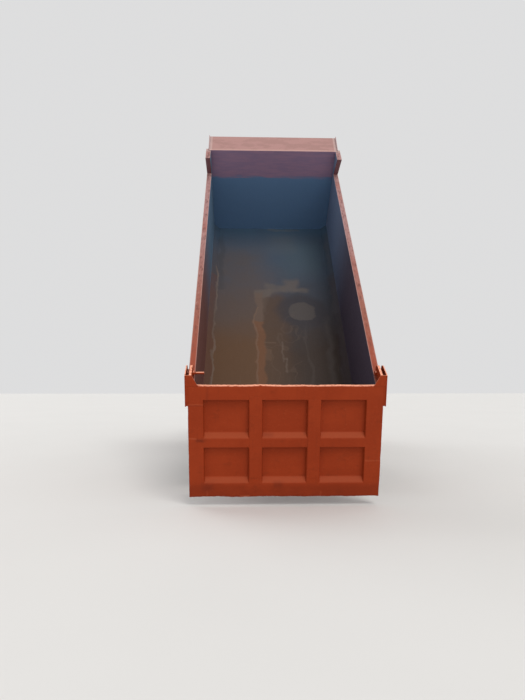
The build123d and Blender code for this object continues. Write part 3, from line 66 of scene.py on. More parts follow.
# Frames whose x runs to the truck's left, y back and z up: three at their joints, turned about x, and
# the truck's own, on the ground under the front axle
bed = leaning(bed_lean, joint_at("bed_tilt"))
gate = leaning(gate_lean, joint_at("gate_swing"))
hoist = leaning(atan2(hoist_axis.y, hoist_axis.z), joint_at("barrel_swing"))
truck = Matrix.Translation((0, joint_at("left_front_roll").y, 0))


def top_corner(node, place):
    """Highest corner of a CAD node's box in a leaning frame."""
    back = place.inverted()
    corners = [back @ vertex.co for vertex in frame["nodes"][node].data.vertices]
    return Vector(max(corner[axis] for corner in corners) for axis in range(3))


inside_half = top_corner("bed_floor", bed).x
outside_half = top_corner("bed_side_left", bed).x
head_back = top_corner("headboard", bed).y
# Top of the bed's floor, and the line where its guard starts, in the bed's frame
floor_up = 0.35
guard_foot = -4.505
# Sides of the truck, with the sign of their x
hands = (("left", 1), ("right", -1))


class Nodes:
    """One material's node tree, with short calls for the nodes that it uses."""

    def __init__(self, name, slot=None, roughness=0.5, metallic=0.0, **sockets):
        self.material = bpy.data.materials.new(name)
        self.material.use_nodes = True
        self.tree = self.material.node_tree
        self.shader = self.tree.nodes["Principled BSDF"]
        self.shader.inputs["Roughness"].default_value = roughness
        self.shader.inputs["Metallic"].default_value = metallic
        for key, value in sockets.items():
            self.shader.inputs[key.replace("_", " ")].default_value = value
        coordinates = self.tree.nodes.new("ShaderNodeTexCoord")
        self.where = coordinates.outputs["Object"]
        self.facing = coordinates.outputs["Normal"]

    def make(self, kind, *inputs, **settings):
        made = self.tree.nodes.new("ShaderNode" + kind)
        for key, value in settings.items():
            setattr(made, key, value)
        for index, value in enumerate(inputs):
            if value is not None:
                self.put(made.inputs[index], value)
        return made

    def put(self, socket, value):
        if isinstance(value, bpy.types.NodeSocket):
            self.tree.links.new(value, socket)
        else:
            socket.default_value = value

    def math(self, operation, a, b=0.0, c=0.0):
        return self.make("Math", a, b, c, operation=operation).outputs[0]

    def times(self, *values):
        product = values[0]
        for value in values[1:]:
            product = self.math("MULTIPLY", product, value)
        return product

    def scaled(self, value, factor, offset):
        return self.math("MULTIPLY_ADD", value, factor, offset)

    def stretch(self, scale, where):
        return self.make("Mapping", where, None, None, scale, vector_type="POINT").outputs[0]

    def local(self, place, lean):
        """Object coordinates turned into a frame that leans back."""
        origin = tuple(place.translation)
        return self.make("Mapping", self.where, origin, (-lean, 0, 0), vector_type="TEXTURE").outputs[0]

    def axes(self, where):
        return self.make("SeparateXYZ", where).outputs[:]

    def facing_up(self, lean):
        """How far a surface faces up in a frame that leans back."""
        up = (0.0, sin(lean), cos(lean))
        return self.make("VectorMath", self.facing, up, operation="DOT_PRODUCT").outputs["Value"]

    def noise(self, scale, detail=4.0, rough=0.55, where=None, output=0):
        made = self.make("TexNoise", where or self.where)
        made.inputs["Scale"].default_value = scale
        made.inputs["Detail"].default_value = detail
        made.inputs["Roughness"].default_value = rough
        return made.outputs[output]

    def step(self, value, low, high):
        """Smooth change from 0 at low to 1 at high, and the other way round where low is more."""
        ends = (1.0, 0.0) if low > high else (0.0, 1.0)
        limits = (min(low, high), max(low, high))
        return self.make("MapRange", value, *limits, *ends, interpolation_type="SMOOTHSTEP").outputs[0]

    def blend(self, share, a, b):
        """Colour between two colours, each of them a socket or (red, green, blue)."""
        made = self.make("Mix", share, data_type="RGBA")
        for index, colour in ((6, a), (7, b)):
            self.put(made.inputs[index], (*colour, 1.0) if isinstance(colour, tuple) else colour)
        return made.outputs[2]

    def layers(self, colour, *table):
        """Colour under layers of (share, colour, masks)."""
        for share, over, *masks in table:
            colour = self.blend(self.times(share, *masks), colour, over)
        return colour

    def marked(self, colour, x, y, table, *masks):
        """Colour under patches of (x from, x to, y from, y to, soft edge, share, colour)."""
        for x0, x1, y0, y1, soft, share, over in table:
            sides = [self.step(value, edge - way * soft, edge + way * soft)
                     for value, edge, way in ((x, x0, 1), (x, x1, -1), (y, y0, 1), (y, y1, -1))]
            colour = self.layers(colour, (share, over, *sides, *masks))
        return colour

    def bump(self, *heights):
        """Bumps from (height socket, metres) pairs, laid over one another."""
        below = None
        for height, distance in heights:
            made = self.make("Bump")
            made.inputs["Strength"].default_value = 1.0
            made.inputs["Distance"].default_value = distance
            self.put(made.inputs["Height"], height)
            if below:
                self.put(made.inputs["Normal"], below)
            below = made.outputs[0]
        self.put(self.shader.inputs["Normal"], below)

    def finish(self, colour, roughness=None):
        self.put(self.shader.inputs["Base Color"], colour)
        if roughness is not None:
            self.put(self.shader.inputs["Roughness"], roughness)
        return self.material


def weathered(name, colour, other, slot=None, rough=(0.35, 0.6), metallic=0.0, scale=2.5, dust=None,
              dust_top=1.4, grain=0.0006, chips=None, chip_share=0.70, **sockets):
    """Paint or metal with uneven colour, dust that thickens towards the ground, and chips."""
    sockets.setdefault("Specular_IOR_Level", 0.25)
    n = Nodes(name, slot, metallic=metallic, **sockets)
    broad = n.noise(scale, 5.0)
    fine = n.noise(scale * 14, 6.0, 0.65)
    colour = n.blend(n.step(broad, 0.35, 0.68), colour, other)
    if chips:
        spots = n.noise(scale * 22, 8.0, 0.7)
        colour = n.blend(n.step(spots, chip_share, chip_share + 0.02), colour, chips)
    if dust:
        height = n.scaled(n.step(n.axes(n.where)[2], dust_top, 0.1), 0.75, 0.12)
        patches = n.step(n.noise(scale * 1.7, 7.0, 0.62), 0.35, 0.75)
        colour = n.blend(n.times(height, patches), colour, dust)
    n.bump((fine, grain), (broad, grain * 3))
    return n.finish(colour, n.scaled(fine, rough[1] - rough[0], rough[0]))


soil = (0.155, 0.105, 0.070)
orange_light = (0.268, 0.035, 0.009)
orange_deep = (0.240, 0.030, 0.0076)
paint_chip = (0.12, 0.05, 0.03)
orange = weathered("orange_paint", orange_light, orange_deep, rough=(0.38, 0.62), dust=soil, chips=paint_chip,
                   chip_share=0.735, Specular_IOR_Level=0.12)
frame_black = weathered("frame_paint", (0.030, 0.030, 0.032), (0.050, 0.046, 0.042), rough=(0.55, 0.8),
                        dust=soil, dust_top=1.6, grain=0.0012)
iron = weathered("cast_iron", (0.055, 0.050, 0.047), (0.10, 0.07, 0.05), rough=(0.55, 0.85), metallic=0.35,
                 dust=soil, dust_top=1.8, grain=0.002, scale=5.0)
rubber = weathered("tyre_rubber", (0.022, 0.022, 0.023), (0.040, 0.037, 0.034), "tyre", rough=(0.75, 0.95),
                   dust=soil, dust_top=1.1, grain=0.0008, scale=4.0)
soft_rubber = weathered("rubber", (0.020, 0.020, 0.021), (0.032, 0.030, 0.028), "black_plastic",
                        rough=(0.6, 0.85), dust=soil, grain=0.0005)
rim_grey = weathered("rim_paint", (0.36, 0.35, 0.33), (0.26, 0.25, 0.23), rough=(0.45, 0.7), metallic=0.3,
                     dust=soil, dust_top=1.2, chips=(0.10, 0.05, 0.03), chip_share=0.69, scale=4.0)
plastic = weathered("black_plastic", (0.024, 0.024, 0.026), (0.036, 0.035, 0.034), rough=(0.5, 0.75),
                    dust=soil, grain=0.0003, scale=4.0)
inner_plastic = weathered("interior", (0.085, 0.083, 0.080), (0.11, 0.105, 0.10), rough=(0.6, 0.8),
                          grain=0.0002)
tank_metal = weathered("tank_aluminium", (0.48, 0.48, 0.48), (0.36, 0.355, 0.35), "tank", rough=(0.32, 0.55),
                       metallic=0.9, dust=soil, dust_top=1.3)
chrome = weathered("rod_chrome", (0.62, 0.62, 0.64), (0.50, 0.50, 0.51), rough=(0.08, 0.22), metallic=1.0,
                   grain=0.0001, dust=(0.06, 0.05, 0.04), dust_top=3.0)
plate_white = weathered("blank_plate", (0.55, 0.55, 0.53), (0.47, 0.46, 0.44), "rim_paint", rough=(0.35, 0.6),
                        dust=soil, scale=6.0)
mirror = weathered("mirror_glass", (0.75, 0.77, 0.78), (0.68, 0.70, 0.71), "glass", rough=(0.02, 0.06),
                   metallic=1.0)
dial_face = weathered("dial_face", (0.50, 0.52, 0.50), (0.42, 0.44, 0.43), "interior", rough=(0.3, 0.5),
                      scale=30.0)
cloth = weathered("seat_fabric", (0.050, 0.056, 0.072), (0.075, 0.080, 0.095), "fabric", rough=(0.85, 0.98),
                  grain=0.0004, scale=9.0)


def cab_lining(n, place):
    """Mask of the cab's inner faces, between its sides, its walls, its floor and its roof."""
    x, back, up = n.axes(place)
    # The front wall leans back above its lower part, and the roof slopes down towards the front
    slope = n.times(n.math("SUBTRACT", up, 1.79), 0.215)
    front = n.math("MINIMUM", back, n.math("SUBTRACT", back, slope))
    brow = n.math("MINIMUM", n.times(n.math("ADD", back, 0.70), 0.163),
                  n.scaled(n.math("ADD", back, 0.97), 0.706, -0.044))
    below = n.math("SUBTRACT", up, n.math("MINIMUM", brow, 0.0))
    return n.times(n.step(n.math("ABSOLUTE", x), 1.1420, 1.1405), n.step(front, -1.2430, -1.2415),
                   n.step(back, 0.4920, 0.4905), n.step(up, 1.218, 1.219), n.step(below, 2.875, 2.870))


def cab_material():
    """Cab paint outside, and a grey lining with a dark floor mat inside."""
    n = Nodes("cab_paint", "orange_paint", Specular_IOR_Level=0.12)
    place = n.local(truck, 0.0)
    up = n.axes(place)[2]
    broad, fine = n.noise(2.5, 5.0), n.noise(35.0, 6.0, 0.65)
    runs = n.noise(7.0, 5.0, 0.6, n.stretch((5.0, 5.0, 0.4), place))
    lining = n.blend(n.step(fine, 0.4, 0.6), (0.100, 0.098, 0.094), (0.118, 0.115, 0.110))
    lining = n.blend(n.step(up, 1.30, 1.26), lining, (0.022, 0.021, 0.020))
    colour = n.layers(
        n.blend(n.step(broad, 0.35, 0.68), orange_light, orange_deep),
        (0.30, (0.34, 0.060, 0.022), n.step(fine, 0.60, 0.70)),
        (1.00, paint_chip, n.step(n.noise(55.0, 8.0, 0.7), 0.735, 0.755)),
        (0.55, soil, n.step(up, 1.9, 0.9), n.step(n.noise(4.2, 7.0, 0.62), 0.30, 0.75)),
        (0.35, (0.165, 0.026, 0.009), n.step(runs, 0.56, 0.76)),
        (1.00, lining, cab_lining(n, place)))
    n.bump((fine, 0.0006), (broad, 0.0018))
    return n.finish(colour, n.scaled(fine, 0.24, 0.38))


def clear_glass(name, slot, colour, roughness, opacity):
    n = Nodes(name, slot, roughness=roughness, Transmission_Weight=0.0, Alpha=opacity)
    smear = n.noise(3.0, 6.0, 0.6)
    return n.finish(n.blend(n.step(smear, 0.4, 0.75), colour, (0.20, 0.19, 0.17)))


def lens(name, slot, colour):
    n = Nodes(name, slot, roughness=0.18, Coat_Weight=0.6)
    ribs = n.make("TexWave", n.where, 60.0).outputs[1]
    n.bump((ribs, 0.0015))
    return n.finish(n.blend(n.step(n.noise(6.0), 0.4, 0.8), colour, tuple(0.6 * part for part in colour)))


cab_paint = cab_material()
glass = clear_glass("window_glass", "glass", (0.035, 0.050, 0.052), 0.12, 0.16)
lamp_glass = clear_glass("lamp_glass", "lamp", (0.62, 0.64, 0.66), 0.06, 0.45)
red_lens = lens("red_lamp", "red_lamp", (0.42, 0.012, 0.010))
amber_lens = lens("amber_lamp", "lamp", (0.70, 0.20, 0.010))
lamp_white = lens("reverse_lamp", "lamp", (0.60, 0.60, 0.58))

# Stains on the inside of the bed, and blue patches near the front that paint the sky's reflection: x from, x
# to, back from, back to, soft edge, share, colour
stains = (
    (0.180, 1.150, -3.80, -1.60, 0.350, 0.60, (0.078, 0.058, 0.050)),
    # Painted sky reflection: a blue patch near the front
    (-1.050, -0.200, -4.10, -3.00, 0.300, 0.50, (0.050, 0.080, 0.100)),
    (-0.200, 0.260, -2.40, 0.60, 0.100, 0.70, (0.064, 0.038, 0.025)),
    (0.080, 0.350, -2.58, -2.40, 0.030, 0.80, (0.102, 0.082, 0.072)),
    (-0.240, 0.140, -2.70, -2.47, 0.050, 0.80, (0.100, 0.082, 0.073)),
    (-0.450, -0.200, -2.90, -2.50, 0.070, 0.80, (0.098, 0.082, 0.076)),
    (-0.640, -0.380, -2.62, -2.50, 0.045, 0.70, (0.094, 0.079, 0.072)),
    (0.140, 0.330, -2.44, -1.95, 0.060, 0.45, (0.104, 0.074, 0.058)),
    (0.215, 0.345, -2.52, -1.55, 0.026, 0.75, (0.112, 0.074, 0.056)),
    (0.205, 0.345, -1.75, 0.60, 0.032, 0.75, (0.140, 0.060, 0.028)),
    (0.325, 0.350, -2.10, 0.60, 0.008, 0.50, (0.150, 0.092, 0.062)),
    (0.100, 0.215, -1.10, -0.86, 0.030, 0.50, (0.112, 0.064, 0.040)),
    (0.020, 0.215, -1.30, -1.255, 0.018, 0.55, (0.118, 0.076, 0.052)),
    (0.060, 0.215, -0.35, 0.60, 0.040, 0.65, (0.108, 0.064, 0.042)),
    (0.930, 1.020, -4.30, -2.60, 0.030, 0.40, (0.034, 0.036, 0.042)),
    (1.026, 1.058, -3.20, 0.60, 0.009, 0.60, (0.150, 0.112, 0.092)),
    (-1.300, -0.960, -3.40, 0.60, 0.060, 0.12, (0.022, 0.016, 0.017)),
    (-1.150, -1.060, -4.20, -1.90, 0.040, 0.50, (0.075, 0.078, 0.088)),
    (-0.960, -0.860, -1.90, 0.20, 0.050, 0.45, (0.072, 0.060, 0.056)),
    (-0.560, -0.520, -2.20, 0.40, 0.020, 0.22, (0.080, 0.066, 0.060)),
    (1.060, 1.400, -3.00, 0.60, 0.030, 0.60, (0.108, 0.052, 0.041)),
    (-1.400, -1.050, -3.00, 0.60, 0.030, 0.60, (0.050, 0.040, 0.046)),
    # Painted sky reflection: a blue band across the front of the floor
    (-1.300, 1.300, -4.70, -4.22, 0.220, 0.85, (0.046, 0.086, 0.132)),
    (-0.640, 0.070, -4.42, -4.36, 0.018, 0.60, (0.090, 0.102, 0.112)),
    (-0.500, 0.050, -4.25, -3.70, 0.180, 0.30, (0.085, 0.088, 0.092)),
    (-0.130, -0.100, -1.30, -0.90, 0.012, 0.50, (0.130, 0.096, 0.076)),
    (-0.190, -0.120, -0.98, -0.94, 0.012, 0.50, (0.130, 0.096, 0.076)),
    (-0.190, -0.165, -0.98, -0.60, 0.012, 0.50, (0.130, 0.096, 0.076)),
)


def bed_outside(n, place, broad):
    """Orange, paler where it faces up and most of all in front, which is sun fade with a painted sky
    highlight over it, with worn rails, corners and guard, painted shade on the corners' faces that don't face
    up, and painted highlights along the edges.
    """
    x, back, up = n.axes(place)
    across = n.math("ABSOLUTE", x)
    tilt = n.facing_up(bed_lean)
    top = n.step(tilt, 0.3, 0.8)
    specks = n.noise(26.0, 9.0, 0.75, place)
    worn = n.noise(11.0, 8.0, 0.78, n.stretch((2.0, 0.7, 1.0), place))
    scuffs = n.noise(5.0, 8.0, 0.7, n.stretch((0.5, 1.6, 1.6), place))
    corner = n.times(n.step(back, -3.95, -4.15), n.step(up, 1.50, 1.62),
                     n.step(across, inside_half - 0.02, inside_half))
    rails = n.times(n.step(back, -4.60, -4.30), top)
    guard = n.step(back, -4.42, -4.50)
    from_foot = n.math("ABSOLUTE", n.math("SUBTRACT", back, guard_foot))
    from_middle = n.math("ABSOLUTE", n.math("SUBTRACT", across, (inside_half + outside_half) / 2))
    wall_half = (outside_half - inside_half) / 2
    return n.layers(
        n.blend(n.step(broad, 0.3, 0.7), (0.330, 0.058, 0.021), (0.275, 0.046, 0.017)),
        # Sun fade and painted sky highlight: pale pink where the surface faces up, most of all in front
        (1.00, n.blend(n.step(back, -3.2, -0.2), (0.330, 0.178, 0.172), (0.265, 0.086, 0.056)),
         n.step(tilt, 0.2, 0.9), n.step(broad, 0.05, 0.5)),
        (0.40, (0.150, 0.070, 0.058), n.step(n.noise(11.0, 7.0, 0.7, place), 0.56, 0.62)),
        (0.55, (0.290, 0.044, 0.016), n.step(back, -0.35, 0.45)),
        # Painted shade: dark purple on the raised front corners where they don't face up
        (1.00, (0.142, 0.056, 0.066), corner, n.step(tilt, 0.9, 0.2)),
        (0.75, (0.105, 0.052, 0.044), n.step(specks, 0.60, 0.65)),
        (0.45, (0.520, 0.360, 0.330), n.step(specks, 0.37, 0.33)),
        (0.75, (0.130, 0.052, 0.042), n.step(worn, 0.53, 0.58), rails),
        (0.40, (0.440, 0.270, 0.240), n.step(worn, 0.44, 0.39), rails),
        (0.55, (0.290, 0.050, 0.020), n.step(back, -0.90, 0.40)),
        # Sun fade and painted sky highlight: pale pink on the guard where it faces up
        (1.00, (0.266, 0.112, 0.116), guard, n.step(tilt, 0.0, 0.3)),
        (0.70, (0.150, 0.052, 0.052), guard, n.step(scuffs, 0.50, 0.54), n.step(back, -5.20, -4.65)),
        # Painted highlights: pale lines along the guard's side lips, the guard's foot and the edges of the
        # wall tops
        (0.50, (0.560, 0.460, 0.440), guard, n.step(across, inside_half - 0.030, inside_half - 0.012)),
        (0.50, (0.500, 0.320, 0.280), n.step(from_foot, 0.022, 0.010), top),
        (0.45, (0.500, 0.320, 0.280), n.step(from_middle, wall_half - 0.016, wall_half - 0.003), top))


def bed_inside(n, place, broad):
    """Steel whose blue-grey at the top is a painted reflection of the sky, brown mud low on the left, darker
    on the right, and the stains.
    """
    x, back, up = n.axes(place)
    scratch = n.noise(5.0, 6.0, 0.7, n.stretch((9.0, 0.35, 2.0), place))
    shake = n.make("VectorMath", n.noise(2.6, 5.0, 0.5, place, 1), (0.26, 0.30, 0.0), (-0.13, -0.15, 0.0),
                   operation="MULTIPLY_ADD").outputs[0]
    shaken = n.make("VectorMath", place, shake, operation="ADD").outputs[0]
    shaken_x, shaken_back = n.axes(shaken)[:2]
    wander = n.scaled(broad, 1.2, -0.6)
    low = n.step(n.math("ADD", back, wander), -3.9, -0.9)
    left = n.step(n.scaled(wander, 0.35, x), -0.50, 0.32)
    # The blue-grey towards the front is a painted reflection of the sky on bare steel; the brown behind is
    # mud
    colour = n.blend(low, n.blend(scratch, (0.042, 0.060, 0.090), (0.050, 0.070, 0.098)),
                     n.blend(left, (0.037, 0.024, 0.0185), (0.096, 0.049, 0.024)))
    colour = n.marked(colour, shaken_x, shaken_back, stains, n.step(broad, 0.1, 0.6))
    # A dried puddle, which is a pale oval in a dark ring, and tide marks of the mud
    puddle = n.make("VectorMath", shaken, (4.3, 4.4, 0.0), (2.13, 8.80, 0.0), operation="MULTIPLY_ADD")
    puddle = n.make("VectorMath", puddle.outputs[0], operation="LENGTH").outputs["Value"]
    tide = n.noise(1.9, 2.5, 0.5, shaken)
    # Headboard: bare below, in a blue that paints the sky's reflection and is made brighter to paint light
    # into the shaded corner, and paint above a worn edge, written dark purple as painted shade
    head = n.step(back, -4.470, -4.476)
    smear = n.noise(7.0, 6.0, 0.65, n.stretch((0.5, 1.0, 3.5), place))
    # Painted shade: the old orange paint written dark purple
    shaded_old_paint = n.blend(n.step(smear, 0.35, 0.65), (0.190, 0.128, 0.205), (0.232, 0.142, 0.212))
    # Inner faces of the side walls: blue in front as painted sky reflection, and the right wall darker than
    # the left as painted shade
    lit_left_wall = n.blend(n.step(shaken_back, -3.4, -1.2), (0.112, 0.185, 0.270), (0.160, 0.067, 0.058))
    shaded_right_wall = n.blend(n.step(shaken_back, -3.6, -1.6), (0.150, 0.195, 0.300), (0.066, 0.052, 0.078))
    return n.layers(
        colour,
        (0.75, (0.033, 0.029, 0.034), n.step(puddle, 2.3, 1.4)),
        (0.90, (0.066, 0.056, 0.053), n.step(puddle, 1.12, 0.98)),
        (0.18, (0.125, 0.086, 0.064), n.step(tide, 0.485, 0.500), n.step(tide, 0.520, 0.503),
         n.step(x, -0.60, -0.25), n.step(x, 0.45, 0.30), n.step(back, -2.2, -1.7)),
        (0.30, (0.125, 0.090, 0.066), n.step(scratch, 0.56, 0.80), low),
        # Painted reflection and painted light: bright blue bare steel on the headboard
        (1.00, n.blend(scratch, (0.077, 0.146, 0.260), (0.086, 0.158, 0.270)), head),
        (1.00, shaded_old_paint, head, n.step(n.scaled(smear, 0.16, up), 1.565, 1.640)),
        (1.00, n.blend(n.step(x, -0.1, 0.1), shaded_right_wall, lit_left_wall),
         n.step(n.math("ABSOLUTE", x), inside_half - 0.003, inside_half - 0.001),
         n.step(up, floor_up + 0.02, floor_up + 0.06)))


def bed_material():
    """Faded paint with painted highlights and shade outside, and worn steel with dried mud and painted sky
    reflection inside, placed in the bed's own frame.
    """
    n = Nodes("bed_paint", Specular_IOR_Level=0.22)
    place = n.local(bed, bed_lean)
    x, back, up = n.axes(place)
    broad = n.noise(1.6, 6.0, 0.6, place)
    fine = n.noise(30.0, 7.0, 0.65, place)
    inside = n.times(n.step(n.math("ABSOLUTE", x), inside_half + 0.003, inside_half + 0.001),
                     n.step(back, head_back - 0.003, head_back - 0.001),
                     n.step(up, floor_up - 0.003, floor_up - 0.001))
    n.bump((fine, 0.0012), (broad, 0.010))
    return n.finish(n.blend(inside, bed_outside(n, place, broad), bed_inside(n, place, broad)),
                    n.scaled(fine, 0.3, 0.42))


bed_paint = bed_material()

# The finish of each CAD node
finishes = {
    frame_black: ["chassis_frame", "subframe", "air_tanks", "rear_bar", "cab_mounts", "hoist_barrel"],
    orange: ["front_bumper", "front_panel", "oil_tank"],
    cab_paint: ["cab_floor", "cab_sides", "cab_front_wall", "cab_back_wall", "cab_roof", "door_left",
                "door_right"],
    iron: ["engine_block", "rear_axles", "propshafts", "front_axle", "leaf_springs", "knuckle_left",
           "knuckle_right", "silencer"],
    plastic: ["battery_box", "rear_mudguards", "front_steps", "mirrors", "air_cleaner"],
    tank_metal: ["fuel_tank"],
    inner_plastic: ["dashboard", "steering_wheel"],
    glass: ["cab_glass", "door_glass_left", "door_glass_right"],
    lamp_glass: ["headlamps"],
    red_lens: ["tail_lamps"],
    chrome: ["hoist_stage_1", "hoist_stage_2", "hoist_stage_3", "hoist_rod"],
    bed_paint: ["bed_floor", "bed_side_left", "bed_side_right", "headboard", "cab_guard"],
    rim_grey: [node for node in frame["nodes"] if "rim" in node],
}
edge_radius = {"fuel_tank": 0.0, "cab_glass": 0.0, "bed_floor": 0.002}
kept_triangles = ("front_bumper",)


def round_edges(thing, width):
    """Rounds the sharp edges where a width is given, and evens the shading."""
    if width:
        bevel = thing.modifiers.new("edges", "BEVEL")
        bevel.width = width
        bevel.segments = 2
        bevel.limit_method = "ANGLE"
        bevel.angle_limit = radians(32)
    thing.modifiers.new("shading", "WEIGHTED_NORMAL").keep_sharp = True


def soften(thing, width):
    """Joins a CAD node's faces again and rounds its edges, with its own mesh as it was."""
    thing.modifiers.new("joined", "WELD").merge_threshold = 0.00005
    if thing.name not in kept_triangles:
        flat = thing.modifiers.new("flat", "DECIMATE")
        flat.decimate_type = "DISSOLVE"
        flat.angle_limit = radians(0.5)
    for polygon in thing.data.polygons:
        polygon.use_smooth = True
    round_edges(thing, width)


for material, names in finishes.items():
    for name in names:
        thing = frame["nodes"][name]
        for material_slot in thing.material_slots:
            material_slot.link = "OBJECT"
            material_slot.material = material
        soften(thing, edge_radius.get(name, 0.004))


def along(axis, c, a, b):
    """Point c along an axis, and a and b along the other two."""
    return {"X": (c, a, b), "Y": (a, c, b), "Z": (a, b, c)}[axis]


def turns(count):
    return [2 * pi * step / count for step in range(count)]


def link(name, data):
    """New object in the scene."""
    thing = bpy.data.objects.new(name, data)
    scene.collection.objects.link(thing)
    return thing


class Shape:
    """Mesh of one piece, put together from simple forms in a placed frame."""

    def __init__(self, place=truck):
        self.mesh = bmesh.new()
        self.place = place

    def ring(self, points):
        return [self.mesh.verts.new(self.place @ Vector(point)) for point in points]

    def circle(self, centre, radius, one, other, sides):
        return self.ring([centre + radius * (cos(turn) * one + sin(turn) * other) for turn in turns(sides)])

    def skin(self, rings, joined=False):
        """Faces between rings of equal length, whose ends are capped, or joined to each other."""
        for near, far in zip(rings, rings[1:] + rings[:1] if joined else rings[1:]):
            for at in range(len(near)):
                after = (at + 1) % len(near)
                self.mesh.faces.new((near[at], near[after], far[after], far[at]))
        if not joined:
            self.mesh.faces.new(rings[0])
            self.mesh.faces.new(rings[-1])

    def prism(self, outline, axis, start, end):
        """Outline of points in the other two axes, pushed along an axis."""
        self.skin([self.ring([along(axis, c, a, b) for a, b in outline]) for c in (start, end)])

    def box(self, xs, ys, zs):
        self.prism([(xs[0], ys[0]), (xs[1], ys[0]), (xs[1], ys[1]), (xs[0], ys[1])], "Z", *zs)

    def lathe(self, profile, centre, axis="X", steps=48, joined=False, sign=1):
        """Profile of (along, radius) pairs turned about an axis through a point."""
        centre = Vector(centre)
        rings = [self.ring([centre + Vector(along(axis, sign * c, radius * cos(turn), radius * sin(turn)))
                            for turn in turns(steps)]) for c, radius in profile]
        self.skin(rings, joined)

    def bolt(self, centre, radius, height, axis="X", sign=1):
        """Hexagon head with a washer and a chamfer."""
        self.lathe([(0, radius * 1.25), (height * 0.15, radius * 1.25)], centre, axis, 16, sign=sign)
        head = [(height * 0.1, radius), (height * 0.85, radius), (height, radius * 0.82)]
        self.lathe(head, centre, axis, 6, sign=sign)

    def pipe(self, points, radius, sides=10):
        """Round bar along a line of points."""
        points = [Vector(point) for point in points]
        rings = []
        up = None
        for at, point in enumerate(points):
            before = points[max(at - 1, 0)]
            after = points[min(at + 1, len(points) - 1)]
            ahead = ((point - before).normalized() + (after - point).normalized()).normalized()
            up = (up or ahead.orthogonal()) - ahead * ahead.dot(up or ahead.orthogonal())
            up.normalize()
            rings.append(self.circle(point, radius, up, ahead.cross(up), sides))
        self.skin(rings)

    def hoop(self, points, radius, normal, sides=8):
        """Round bar along a closed line of points in one plane."""
        normal = Vector(normal).normalized()
        rings = []
        for at, point in enumerate(points):
            ahead = (Vector(points[(at + 1) % len(points)]) - Vector(points[at - 1])).normalized()
            rings.append(self.circle(Vector(point), radius, normal, ahead.cross(normal), sides))
        self.skin(rings, joined=True)

    def finish(self, name, material, body, replaced=(), edge=0.0, sharp=38.0, slot=None):
        """Turns the mesh into a piece that rides on a body, with rounded edges where asked."""
        bmesh.ops.recalc_face_normals(self.mesh, faces=self.mesh.faces)
        data = bpy.data.meshes.new(name)
        self.mesh.to_mesh(data)
        self.mesh.free()
        data.polygons.foreach_set("use_smooth", [True] * len(data.polygons))
        data.materials.append(material)
        thing = link(name, data)
        if edge:
            round_edges(thing, edge)
        else:
            data.set_sharp_from_angle(angle=radians(sharp))
        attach(thing, body)
        if replaced:
            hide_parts(*replaced)


def rounded(corners, radius, steps=4, closed=False):
    """Line of points through corners, with each corner rounded."""
    corners = [Vector(corner) for corner in corners]
    line = [] if closed else [corners[0]]
    for at in range(0 if closed else 1, len(corners) if closed else len(corners) - 1):
        corner = corners[at]
        before = corners[at - 1] - corner
        after = corners[(at + 1) % len(corners)] - corner
        reach = min(radius, before.length / 2, after.length / 2)
        start = corner + before.normalized() * reach
        end = corner + after.normalized() * reach
        for step in range(steps + 1):
            t = step / steps
            line.append(start * (1 - t) ** 2 + corner * 2 * t * (1 - t) + end * t ** 2)
    return line if closed else line + [corners[-1]]


def ramp(value, table):
    """Value of a table of (place, height) pairs at a place."""
    if value <= table[0][0]:
        return table[0][1]
    for (x0, y0), (x1, y1) in zip(table, table[1:]):
        if value <= x1:
            return y0 + (y1 - y0) * (value - x0) / (x1 - x0)
    return table[-1][1]


# Tailgate: one pressed and dented face with its recesses, and the forked arms
gate_half = 1.22
gate_top = -0.1
gate_bottom = -1.58
gate_inner = 0.18
gate_outer = 0.25
face_inset = 0.0062
mesh_gap = 0.02
# How far in from the top, the bottom and the sides the face is dented more
top_band = 0.12
bottom_band = 0.10
side_band = 0.05
nick_band = 0.02
recess_half = 0.2847
recess_middles = (-0.7253, 0.0100, 0.7453)
# Recesses of the tailgate: top edge, height of the flat, height of the sloped ledge
recess_rows = ((-0.290, 0.430, 0.065), (-0.909, 0.406, 0.070))
# Depth over the distance in from an edge, for the steep sides, top wall, sloped ledge and rim of the gate
side_wall = ((-0.006, 0.0), (-0.003, 0.0006), (-0.001, 0.003), (0.001, 0.009), (0.010, 0.053),
             (0.012, 0.0575), (0.015, 0.0596), (0.020, 0.060))
top_wall = ((-0.006, 0.0), (-0.003, 0.0006), (-0.001, 0.003), (0.000, 0.008), (0.003, 0.053),
            (0.005, 0.0575), (0.008, 0.0596), (0.013, 0.060))
ledge_slope = ((-0.008, 0.0), (-0.003, 0.0010), (0.003, 0.0045), (0.018, 0.0180), (0.034, 0.0330),
               (0.050, 0.0480), (0.060, 0.0565), (0.066, 0.0592), (0.074, 0.060))
ledge_length = 0.066
gate_rim = ((0.0, 0.008), (0.0015, 0.0042), (0.004, 0.0016), (0.008, 0.0))


def spaced(lines, low, high, gap):
    """Lines in order, with more of them between where they are further apart than a gap."""
    lines = sorted({round(line, 5) for line in lines if low <= line <= high} | {low, high})
    filled = []
    for near, far in zip(lines, lines[1:]):
        count = max(1, round((far - near) / gap))
        filled += [near + (far - near) * step / count for step in range(count)]
    return filled + [high]


def press(x, z):
    """Depth of the pressed face behind the gate's outer face."""
    deepest = 0.0
    for middle in recess_middles:
        aside = ramp(recess_half - abs(x - middle), side_wall)
        for top, flat, ledge in recess_rows:
            below = ramp(top - z, top_wall)
            above = ramp((z - (top - flat - ledge)) * ledge_length / ledge, ledge_slope)
            deepest = max(deepest, min(aside, below, above))
    rim = max(ramp(distance, gate_rim) for distance in (gate_half - abs(x), gate_top - z, z - gate_bottom))
    return max(deepest, rim)


